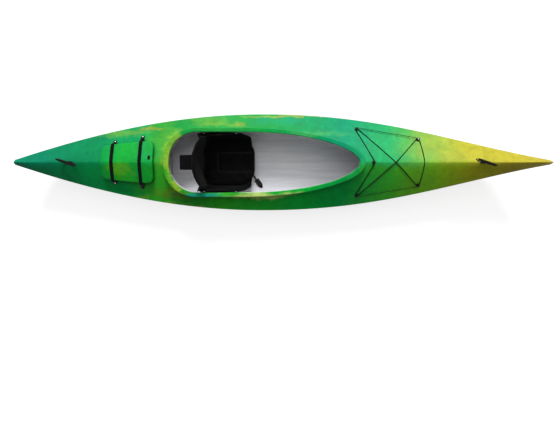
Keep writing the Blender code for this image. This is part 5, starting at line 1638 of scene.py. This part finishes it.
def makeSeatPan(p):
    count = 44
    places = [mix(p["aft"], p["fore"] - 0.11, i / 22) for i in range(22)]
    places += [p["fore"] - 0.11 * (1 - math.sin(math.pi / 2 * i / (count - 23))) for i in range(count - 22)]
    rings = [panRing(p, x) for x in places]
    pivotX, pivotZ = p["pivot"]
    length = p["fore"] - p["aft"] - 0.04
    middle = (p["fore"] + p["aft"]) / 2
    outer = (p["skidSpacing"] + p["skidWidth"]) / 2
    low = max(floorHeight(middle + end * length / 2, outer) for end in (-1, 1)) + 0.0006
    high = p["base"] + 0.0025
    skid = block((length, p["skidWidth"], high - low), 0.003)
    skids = joined([(skid, [shifted(middle, s * p["skidSpacing"] / 2, (high + low) / 2) for s in (-1, 1)])])
    lugLow, lugTop = p["base"] + 0.003, pivotZ + 0.012
    plate = block((0.026, p["lugPlate"], lugTop - lugLow), 0.0022)
    reach = p["lugWidth"] / 2 + 0.0005 + p["lugPlate"] / 2
    lugs = joined([(plate, [shifted(pivotX, s * p["lugSpacing"] / 2 + r, (lugTop + lugLow) / 2)
                            for s in (-1, 1) for r in (-reach, reach)])])
    rib = block((0.30, 0.008, 0.004), 0.0018)
    ribs = joined([(rib, [shifted(middle + 0.02, y, panTop(p, abs(y)) + 0.0006)
                          for y in (-0.035, 0.0, 0.035)])])
    steps = [(skids, "UNION"), (lugs, "UNION"), (ribs, "UNION"), (boreMesh(p, 0.0004), "DIFFERENCE")]
    pan = cutBy(loft(rings), steps, (seatPlastic,))
    weighted(show("seatPan", pan, seatPlastic, "seat_polyethylene", "seat_pan"))
    head = p["pin"] + 0.002
    end = p["lugSpacing"] / 2 + p["lugWidth"] / 2 + p["lugPlate"] + 0.0009
    profile = [(0.0003, end + 0.002), (head - 0.0008, end + 0.002), (head, end + 0.0012), (head, end),
               (p["pin"], end), (p["pin"], -end), (head, -end), (head, -end - 0.0012),
               (head - 0.0008, -end - 0.002), (0.0003, -end - 0.002)]
    show("backrestPin", joined([(lathe(profile, 32), turnedAcross(pivotX, pivotZ))]), steel,
         "stainless_steel", "backrest_rod")
    for name, x in (("Aft", p["aft"] + 0.070), ("Fore", p["fore"] - 0.105)):
        face = panHalf(p, x + 0.0065) - p["wall"] - 0.0006
        place = shifted(x, face, p["wingTop"] - 0.018) @ turnedAcross(0, 0) @ Matrix.Scale(1.5, 4)
        for side, where in bothSides:
            placedScrew("seatBolt%s_%s" % (name, side), where @ place,
                        "seat_bolt_%s_%s" % (name.lower(), side))


cover = {
    "voxel": 0.005,
    "start": 0.86,                            # how full a cover is before the cloth swells it
    "creases": ((0.0009, 34.0), (0.0005, 90.0)),   # height, and waves per metre, of the loose cloth
    "pucker": (0.0006, 0.011, 0.014),         # height, pitch and reach of the puckers at a seam
    "channelHalf": 0.0055,
    "stitchAside": 0.0052,                    # from the middle of a channel to its rows of stitches
    "stitchPitch": 0.0058,
    "stitchLength": 0.0036,
    "stitchRadius": 0.00055,
    "piping": 0.0021,
}


def fullness(u, v):
    # 1 over most of a pillow, rounding off to 0 at its sewn edge
    return ((1 - u ** 6) * (1 - v ** 6)) ** 0.45


def relief(at, along, away, depth):
    # how the cloth lies round a sewn channel that is away metres off and runs the way of along
    (wide, slow), (fine, fast) = cover["creases"]
    high, pitch, reach = cover["pucker"]
    wave = wide * noise.noise(at * slow) + fine * noise.noise(at * fast)
    pucker = high * math.sin(along * 2 * math.pi / pitch) * max(0.0, 1 - away / reach)
    return wave + pucker - depth * math.exp(-(away / cover["channelHalf"]) ** 2)


def gridPillow(place, across, along):
    # closed pillow: top and bottom faces that share their sewn edge
    mesh = bmesh.new()
    faces = {}
    for i in range(across + 1):
        for j in range(along + 1):
            u, v = 2 * i / across - 1, 2 * j / along - 1
            edge = i in (0, across) or j in (0, along)
            for side in (1, -1):
                if edge and side < 0:
                    faces[side, i, j] = faces[1, i, j]
                else:
                    faces[side, i, j] = mesh.verts.new(place(u, v, 0 if edge else side))
    for side in (1, -1):
        for i in range(across):
            for j in range(along):
                corners = [faces[side, i, j], faces[side, i + 1, j], faces[side, i + 1, j + 1],
                           faces[side, i, j + 1]]
                mesh.faces.new(corners if side > 0 else corners[::-1])
    bmesh.ops.recalc_face_normals(mesh, faces=mesh.faces)
    return mesh


def puffed(place, across, along, held, cap):
    # a cover swollen by its filling: cloth under pressure, held where it is sewn or rests
    swell = cover["start"]
    mesh = gridPillow(lambda u, v, side: place(u, v, side, swell), across, along)
    piece = show("cushionBlank", mesh, seatFabric)
    remesh = piece.modifiers.new("remesh", "REMESH")
    remesh.mode = "VOXEL"
    remesh.voxel_size = cover["voxel"]
    data = evaluated(piece)
    drop(piece)
    piece = bpy.data.objects.new("cushionBlank", data)
    scene.collection.objects.link(piece)
    start = [corner.co.copy() for corner in data.vertices]
    group = piece.vertex_groups.new(name="held")
    group.add([i for i, at in enumerate(start) if held(at)], 1.0, "REPLACE")
    cloth = piece.modifiers.new("puff", "CLOTH")
    cloth.settings.quality = 5
    cloth.settings.use_pressure = True
    cloth.settings.uniform_pressure_force = 4.0
    cloth.settings.effector_weights.gravity = 0.0
    cloth.settings.vertex_group_mass = "held"
    cloth.collision_settings.use_collision = False
    for step in range(1, 21):
        scene.frame_set(step)
    made = bmeshOf(evaluated(piece))
    for corner, at in zip(made.verts, start):
        move = corner.co - at
        if move.length > cap:
            corner.co = at + move * cap / move.length
    scene.frame_set(1)
    drop(piece)
    return made


def sewn(mesh, depthAt):
    # presses sewn channels into a cover: depthAt gives how far, and along which way, each point goes in
    mesh.normal_update()
    for corner in mesh.verts:
        corner.co += depthAt(corner.co, corner.normal)
    return mesh


def makePad(name, mesh, look, node, body="root"):
    # a filled cover, smoothed once more
    piece = show(name, mesh, look, "seat_fabric", node, body, 80.0)
    modifier = piece.modifiers.new("smooth", "SUBSURF")
    modifier.levels = modifier.render_levels = 1


def edgeLoop(place, steps, side=0):
    # the sewn edge of a pillow, walked once round
    ramp = [2 * i / steps - 1 for i in range(steps)]
    walk = [(u, -1) for u in ramp] + [(1, v) for v in ramp]
    walk += [(-u, 1) for u in ramp] + [(-1, -v) for v in ramp]
    return [place(u, v, side) for u, v in walk]


def makePiping(name, place, steps, section, body="root", where=Matrix()):
    # a bead of covered cord sewn into the edge
    mesh = sweep(edgeLoop(place, steps), section, closedPath=True)
    show(name, joined([(mesh, where)]), webbing, "seat_fabric", body=body)


def stitchesOn(mesh, lines, towards):
    # a row of thread stitches laid on a surface along each line of points
    tree = BVHTree.FromBMesh(mesh)
    radius = cover["stitchRadius"]
    stitch = block((cover["stitchLength"], 2 * radius, 1.4 * radius), 0.45 * radius, 1)
    places = []
    for line in lines:
        left = 0.0
        for a, b in zip(line, line[1:]):
            run = (b - a).length
            while left < run:
                at = a.lerp(b, left / run)
                hit, normal, _, _ = tree.ray_cast(at - towards * 0.2, towards)
                if hit is not None:
                    ahead = (b - a).normalized()
                    ahead = (ahead - normal * ahead.dot(normal)).normalized()
                    turn = Matrix((ahead, normal.cross(ahead), normal)).transposed().to_4x4()
                    places.append(Matrix.Translation(hit + normal * 0.0002) @ turn)
                left += cover["stitchPitch"]
            left -= run
    return joined([(stitch, places)])


def makeSeatCushion(p):
    middle = p["padFore"] - p["padLength"] / 2
    seamRise = 0.012

    def place(u, v, side, swell=1.0):
        drawn = 0.24 if u > 0 else 0.12
        x = middle + p["padLength"] / 2 * u * (1 - 0.16 * v ** 4 - 0.02 * (1 - v * v) ** 2)
        y = p["padHalf"] * v * (1 - drawn * u ** 4 - 0.03 * (1 - u * u) ** 2)
        seam = panTop(p, abs(y)) + seamRise
        if side == 0:
            return Vector((x, y, seam))
        fill = fullness(u, v)
        if side < 0:
            return Vector((x, y, seam - (seamRise - 0.001) * min(1.0, fill * 1.5)))
        crown = 0.7 + 0.3 * (1 - u * u) * (1 - v * v) + 0.16 * smoothStep(0.2, 0.9, u)
        return Vector((x, y, seam + (p["padThick"] - seamRise) * crown * fill * swell))

    def held(at):
        return at.z < panTop(p, abs(at.y)) + seamRise + 0.0015

    def channels(at, normal):
        if normal.z < 0.25:
            return Vector((0, 0, 0))
        away = abs(abs(at.y) - p["channel"])
        if abs(at.y) < p["channel"]:
            away = min(away, abs(at.x - middle + p["crossing"]))
        return Vector((0, 0, relief(at, at.x, away, 0.0062)))

    mesh = sewn(puffed(place, 64, 56, held, p["puff"]), channels)
    ends = (middle - p["padLength"] * 0.44, middle + p["padLength"] * 0.47)
    lines = []
    for side in (-cover["stitchAside"], cover["stitchAside"]):
        for y in (-p["channel"], p["channel"]):
            lines.append([Vector((x, y + side, 0.2)) for x in ends])
        lines.append([Vector((middle - p["crossing"] + side, y, 0.2))
                      for y in (0.008 - p["channel"], p["channel"] - 0.008)])
    show("seatCushionStitches", stitchesOn(mesh, lines, Vector((0, 0, -1))), thread, "seat_fabric")
    makePad("seatCushion", mesh, seatFabric, "seat_pad")
    makePiping("seatCushionPiping", place, 48, circle(cover["piping"], 10))


def makeHipPads(p):
    def place(u, v, side):
        x = p["aft"] + 0.165 + 0.085 * u * (1 - 0.12 * v ** 4)
        z = p["base"] + 0.160 + 0.042 * v * (1 - 0.12 * u ** 4)
        face = cockpit["half"] - p["wall"] - 0.0012
        fill = fullness(u, v)
        groove = 0.0022 * math.exp(-(u / 0.07) ** 2) * fill
        depth = {0: 0.004, 1: 0.004 + 0.008 * fill - groove, -1: 0.0004}[side]
        return Vector((x, face - depth, z))

    for side, where in bothSides:
        pad = joined([(gridPillow(place, 40, 24), where)])
        makePad("hipPad_" + side, pad, seatFabric, "hip_pad_" + side)
        makePiping("hipPadPiping_" + side, place, 20, circle(0.0016, 8), where=where)


backrest = {
    "half": 0.184,
    "low": 0.162,
    "top": 0.415,
    "aft": -0.603,
    "wrap": 0.062,
    "board": 0.004,
    "pad": 0.032,
    "flap": (0.105, 0.105, 0.012),
    "flapHeight": 0.285,
    "channel": 0.36,
    "puff": 0.007,
}


def backCurve(p, y):
    return p["aft"] + p["wrap"] * (y / p["half"]) ** 2


def makeBackBoard(p, s):
    rings = []
    count = 56
    for i in range(count + 1):
        u = 2 * i / count - 1
        y = p["half"] * u
        aft = backCurve(p, y)
        low = p["low"] + 0.035 * u ** 4
        top = p["top"] - 0.006 - 0.045 * abs(u) ** 5
        board = p["board"]
        soft = 0.0012
        rings.append([Vector((x, y, z)) for x, z in (
            (aft, low + soft), (aft + soft, low), (aft + board - soft, low), (aft + board, low + soft),
            (aft + board, top - soft), (aft + board - soft, top), (aft + soft, top), (aft, top - soft))])
    lugY = s["lugSpacing"] / 2
    pivotX, pivotZ = s["pivot"]
    fore = backCurve(p, lugY - s["lugWidth"] / 2) + p["board"] * 0.6
    aft = pivotX - 0.008
    low, top = pivotZ - 0.009, p["low"] + 0.020
    lug = block((fore - aft, s["lugWidth"], top - low), 0.0022)
    lugs = joined([(lug, [shifted((fore + aft) / 2, side * lugY, (top + low) / 2) for side in (-1, 1)])])
    steps = [(lugs, "UNION"), (boreMesh(s, 0.0004), "DIFFERENCE")]
    board = cutBy(loft(rings), steps, (seatPlastic,))
    weighted(show("backrestBoard", board, seatPlastic, "seat_polyethylene", "backrest_board",
                  body="backrest"))


def makeBackCushion(p):
    middle = (p["top"] + p["low"]) / 2
    halfHeight = (p["top"] - p["low"]) / 2

    def place(u, v, side, swell=1.0):
        y = p["half"] * u * (1 - 0.10 * v ** 4)
        z = middle + halfHeight * v * (1 - 0.14 * u ** 4)
        face = backCurve(p, y) + p["board"] + 0.0012
        fill = fullness(u, v)
        if side == 0:
            return Vector((face + 0.008, y, z))
        if side < 0:
            return Vector((face + 0.008 * (1 - min(1.0, fill * 1.5)), y, z))
        crown = 0.75 + 0.25 * (1 - u * u) * (1 - v * v)
        return Vector((face + 0.008 + (p["pad"] - 0.008) * crown * fill * swell, y, z))

    def held(at):
        return at.x < backCurve(p, at.y) + p["board"] + 0.0012 + 0.0095

    def channels(at, normal):
        if normal.x < 0.25:
            return Vector((0, 0, 0))
        away = abs(abs(at.z - middle) - p["channel"] * halfHeight)
        return Vector((relief(at, at.y, away, 0.0060), 0, 0))

    mesh = sewn(puffed(place, 64, 44, held, p["puff"]), channels)
    lines = []
    across = (-0.165, -0.11, -0.05, 0.0, 0.05, 0.11, 0.165)
    for z in (middle - p["channel"] * halfHeight, middle + p["channel"] * halfHeight):
        for side in (-cover["stitchAside"], cover["stitchAside"]):
            lines.append([Vector((backCurve(p, y), y, z + side)) for y in across])
    show("backCushionStitches", stitchesOn(mesh, lines, Vector((-1, 0, 0))), thread, "seat_fabric",
         body="backrest")
    makePad("backCushion", mesh, meshFabric, "backrest_pad", "backrest")
    makePiping("backCushionPiping", place, 44, circle(cover["piping"], 10), "backrest")


def makeBackFlap(p):
    # padded flap behind the backrest, bound round its edge
    length, width, thick = p["flap"]
    middle = p["aft"] - 0.0005 - length / 2

    def place(u, v, side):
        x = middle + (length / 2 - 0.002) * u * (1 - 0.02 * v ** 4)
        y = (width / 2 - 0.002) * v * (1 - 0.02 * u ** 4)
        fill = ((1 - u ** 8) * (1 - v ** 8)) ** 0.4
        return Vector((x, y, p["flapHeight"] + side * (0.0012 + (thick / 2 - 0.0016) * fill)))

    makePad("backrestFlap", gridPillow(place, 30, 30), seatFabric, "backrest_rear_flap", "backrest")
    bound = [(-0.0030, -0.0030), (0.0024, -0.0030), (0.0030, -0.0018), (0.0030, 0.0018), (0.0024, 0.0030),
             (-0.0030, 0.0030)]
    makePiping("backrestFlapBinding", place, 16, bound, "backrest")


def slideBuckle(length, width, thick):
    # three-bar slide: a frame with a middle bar, webbing woven through it
    frame = block((length, width, thick), 0.0010)
    gap = (length - 0.0095) / 2
    slot = block((gap, width - 0.0065, thick * 3))
    slots = joined([(slot, [shifted(s * (gap / 2 + 0.0016), 0, 0) for s in (-1, 1)])])
    return cutBy(frame, [(slots, "DIFFERENCE")], (blackNylon,))


backStrap = {
    "width": 0.025,
    "thickness": 0.0016,
    "height": 0.302,                # where it leaves the backrest, and where it ends on the wing
    "wingHeight": 0.253,
    "wingX": 0.120,
    "buckle": (0.030, 0.032, 0.004),
    "patch": (0.034, 0.027, 0.0016),
    "bend": (0.36, 0.06),           # the share of its length over which it would bend with the backrest
}


def makeBackStraps(p, s, strap):
    wing = cockpit["half"] - 0.0003 - s["wall"]
    thick = strap["thickness"]
    start = Vector((backCurve(p, p["half"]) + 0.010, p["half"] + 0.0045, strap["height"]))
    end = Vector((s["fore"] - strap["wingX"], wing - thick / 2 - 0.0006, strap["wingHeight"]))
    route = curved([start, start.lerp(end, 0.35), start.lerp(end, 0.7), end], 8)
    port = sweep(route, bandSection(strap["width"], thick), Vector((0.25, 0, 1)))
    pitch = Matrix.Rotation(math.atan2(start.z - end.z, end.x - start.x), 4, "Y")
    yaw = Matrix.Rotation(math.atan2(end.y - start.y, end.x - start.x), 4, "Z")
    middle = start.lerp(end, 0.5) - Vector((0, 0.0026, 0))
    facing = yaw @ pitch @ Matrix.Rotation(math.pi / 2, 4, "X")
    place = Matrix.Translation(middle) @ facing
    over = [place @ shifted(x, 0, z) for x, z in
            ((-0.020, 0.0008), (-0.008, 0.0020), (0.0, 0.0030), (0.008, 0.0020), (0.020, 0.0008))]
    across = place.to_3x3() @ Vector((0, 1, 0))
    wrapBand = sweep(curved([m.translation.copy() for m in over], 4), bandSection(0.0245, 0.0014), across)
    buckle = slideBuckle(*strap["buckle"])
    patch = block(strap["patch"], 0.0005)
    patchPlace = Matrix.Translation(end - Vector((0.016, 0.0018, -0.002))) @ facing
    for side, where in bothSides:
        band = show("backStrap_" + side, joined([(port, where)]), webbing)
        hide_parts("back_strap_" + side)
        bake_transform(band)
        show("backStrapFold_" + side, joined([(wrapBand, where)]), webbing, "webbing")
        show("backStrapBuckle_" + side, joined([(buckle, where @ place)]), blackNylon, "black_nylon",
             "back_strap_buckle_" + side)
        show("backStrapPatch_" + side, joined([(patch, where @ patchPlace)]), seatFabric, "webbing")


seatStrap = {
    "width": 0.012,
    "endWidth": 0.020,
    "thickness": 0.0016,
    "start": (0.001, -0.098, 0.032),    # from the front edge of the seat pan
    "leverTilt": -16.0,
}


def makeSeatStrap(p):
    place, size = boxOf("seat_strap_buckle", (0, 0.2, 1), (0.6, -0.8, 0))
    length, width, thick = size
    frame = block((length, width, thick * 0.62), 0.0018)
    slot = block((0.0050, width - 0.009, 0.0030))
    slots = joined([(slot, [shifted(x, 0, thick * 0.31) for x in (-0.018, 0.0, 0.016)])])
    frame = cutBy(frame, [(slots, "DIFFERENCE")], (blackNylon,))
    bars = block((0.0040, width - 0.004, 0.0040), 0.0014)
    lever = block((0.010, width * 0.92, 0.0026), 0.0011)
    tilt = Matrix.Rotation(math.radians(p["leverTilt"]), 4, "Y")
    whole = joined([(frame, shifted(0, 0, -thick * 0.15)),
                    (bars, [shifted(-0.009, 0, 0.0018), shifted(0.008, 0, 0.0018)]),
                    (lever, shifted(length / 2 - 0.006, 0, 0.0022) @ tilt)])
    whole.transform(place)
    show("seatStrapBuckle", whole, blackNylon, "black_nylon", "seat_strap_buckle")
    start = Vector((seat["fore"], 0, 0)) + Vector(p["start"])
    base = place @ shifted(0, 0, -thick / 2)
    lead = base @ Vector((-length / 2 - 0.012, 0, 0.005))
    mouth = base @ Vector((-length / 2 + 0.010, 0, 0.0056))
    route = curved([start, start + Vector((0.012, -0.010, -0.009)), lead, mouth], 6)
    show("seatStrap", sweep(route, bandSection(p["width"], p["thickness"]), Vector((0.8, 0.6, 0))),
         webbing, "webbing", "seat_strap")
    across = place.to_3x3() @ Vector((0, 1, 0))
    spare = [base @ Vector((length / 2 - 0.008, 0, 0.0050)), base @ Vector((length / 2 + 0.004, 0, 0.0044)),
             base @ Vector((length / 2 + 0.0160, 0, 0.0040))]
    show("seatStrapEnd", sweep(curved(spare, 4), bandSection(p["endWidth"], p["thickness"]), across),
         webbing, "webbing", "seat_strap_end")


makeSeatPan(seat)
makeSeatCushion(seat)
makeHipPads(seat)
print("seat made")
makeBackBoard(backrest, seat)
makeBackCushion(backrest)
makeBackFlap(backrest)
makeBackStraps(backrest, seat, backStrap)
makeSeatStrap(seatStrap)
print("backrest and straps made")


brace = {
    "length": 0.360,
    "width": 0.024,
    "depth": 0.010,
    "gap": 0.0003,
    "pedal": (0.085, 0.070, 0.009),
    "carriage": (0.060, 0.032, 0.012),
    "trigger": 0.034,
    "notches": 22,
}


def makeFootBraces(p):
    # toothed rail on the hull's side, a ribbed pedal on its carriage, and the sprung trigger
    centre, size = boxOf("foot_rail_port", (0, -1, 0))
    port = centre @ shifted(0, 0, -size.z / 2)
    pitch = (p["length"] - 0.06) / p["notches"]
    rail = block((p["length"], p["width"], p["depth"]), 0.0016)
    notch = block((pitch * 0.5, 0.0050, 0.0026), 0.0004, 1)
    notches = joined([(notch, [shifted((i - p["notches"] / 2 + 0.5) * pitch, -p["width"] / 2 + 0.002,
                                       p["depth"] / 2) for i in range(p["notches"])])])
    groove = joined([(block((p["length"] - 0.05, 0.0045, 0.0040), 0.0008),
                      shifted(0, 0.0025, p["depth"] / 2))])
    rail = cutBy(rail, [(notches, "DIFFERENCE"), (groove, "DIFFERENCE")], (blackNylon,))
    rail.transform(shifted(0, 0, p["depth"] / 2))
    lift = p["depth"] + p["gap"]
    base = lift + p["carriage"][2] / 2
    length, height, thick = p["pedal"]
    plateMiddle = height / 2 + 0.001 - p["carriage"][1] / 2
    plateStart = lift + 0.009
    plate = block((thick * 0.62, height, length), 0.0026)
    bar = block((0.0026, height * 0.84, 0.0032), 0.0010)
    treads = [shifted(-thick * 0.36, plateMiddle, plateStart + length * (0.12 + 0.095 * i)) for i in range(9)]
    web = block((0.018, 0.0040, 0.030), 0.0012)
    carriage = block(p["carriage"], 0.0014)
    pedal = joined([(carriage, shifted(0, 0, base)),
                    (plate, shifted(0, plateMiddle, plateStart + length / 2)), (bar, treads),
                    (web, [shifted(0.010, y, plateStart + 0.014) for y in (-0.006, 0.008)])])
    triggerY = -p["carriage"][1] / 2 - 0.0006 - 0.0025
    lever = block((p["trigger"], 0.005, p["carriage"][2] - 0.002), 0.0016)
    grips = block((0.0014, 0.0056, p["carriage"][2] - 0.004), 0.0004, 1)
    trigger = joined([(lever, shifted(-0.004, triggerY, base)),
                      (grips, [shifted(-0.019 + 0.003 * i, triggerY, base) for i in range(4)])])
    for side, where in bothSides:
        at = where @ port
        for part, mesh, body in (("Rail", rail, "root"), ("Pedal", pedal, "pedal_" + side),
                                 ("Trigger", trigger, "trigger_" + side)):
            show("foot%s_%s" % (part, side), joined([(mesh, at)]), blackNylon, "black_nylon",
                 "foot_%s_%s" % (part.lower(), side), body=body)
        for i, end in enumerate((-1, 1)):
            spot = shifted(end * (p["length"] / 2 - 0.014), 0, p["depth"]) @ Matrix.Scale(0.95, 4)
            placedScrew("footRailScrew%d_%s" % (i, side), at @ spot)


foam = {
    "bulkhead": (-0.880, -0.830),
    "pillar": (0.750, 1.450),
    "pillarWidth": 0.075,
    "edge": 0.003,          # how far the wire rounds the pillar's edges
    "clear": 0.0006,
}


def makeFoam(p):
    # hot-wired blocks: a bulkhead behind the cockpit and a pillar under the foredeck
    fit = hull["wall"] + p["clear"]
    low, high = p["bulkhead"]
    rings = []
    for i in range(7):
        x = mix(low, high, i / 6)
        soft = 0.0016 if i in (0, 6) else 0.0
        s = sectionAt(x, fit + soft)
        half = bilge(x, fit + soft, 0.0)
        upper = [(s["beam"] * share, deckHeight(x, s["beam"] * share, fit + soft)) for share in
                 reversed(hull["deckShares"])]
        rings.append(bothHalves(x, [(0.0, s["top"])] + upper[::-1] + half + [(0.0, s["low"])]))
    show("sternBulkhead", loft(rings), greyFoam, "grey_foam", "stern_bulkhead", sharp=50.0)
    start, end = p["pillar"]
    edge = p["edge"]
    rings = []
    for i in range(43):
        x = mix(start + edge, end - edge, (i - 1) / 40) if 0 < i < 42 else (start, end)[i // 42]
        trim = 0.0 if 0 < i < 42 else edge
        wide = p["pillarWidth"] / 2 - trim
        low = [(y, floorHeight(x, y) + p["clear"] + trim) for y in (0.0, wide * 0.5, wide - edge)]
        low.append((wide, floorHeight(x, wide) + p["clear"] + trim + edge))
        high = [(wide, deckHeight(x, wide, fit) - trim - edge)]
        high += [(y, deckHeight(x, y, fit) - trim) for y in (wide - edge, wide * 0.5, 0.0)]
        rings.append(bothHalves(x, low + high))
    show("foamPillar", loft(rings), greyFoam, "grey_foam", "bow_pillar", sharp=50.0)


def makeGasket():
    # a rubber ring under the lid, on top of the rim
    loop = hatchLoop()
    inner = -(hatch["wall"] + hatch["rimClearance"] + hatch["rimWall"]) + 0.0005
    outer = -(hatch["wall"] + hatch["rimClearance"]) - 0.0005
    low = hatch["wall"] + hatch["gasket"]
    profile = [(inner, low), (inner, low - 0.0026), (inner + 0.0012, low - 0.0040),
               (outer - 0.0012, low - 0.0040), (outer, low - 0.0026), (outer, low)]
    rings = profileRound(loop, profile, lambda corner, i, x, y: lidTop(loop[i][1]) - corner[1] - 0.0002)
    show("hatchGasket", loft(rings, closedPath=True), rubber, "black_rubber", "hatch_gasket", body="hatch")


makeFootBraces(brace)
makeFoam(foam)
makeGasket()
print("foot braces, foam and gasket made")
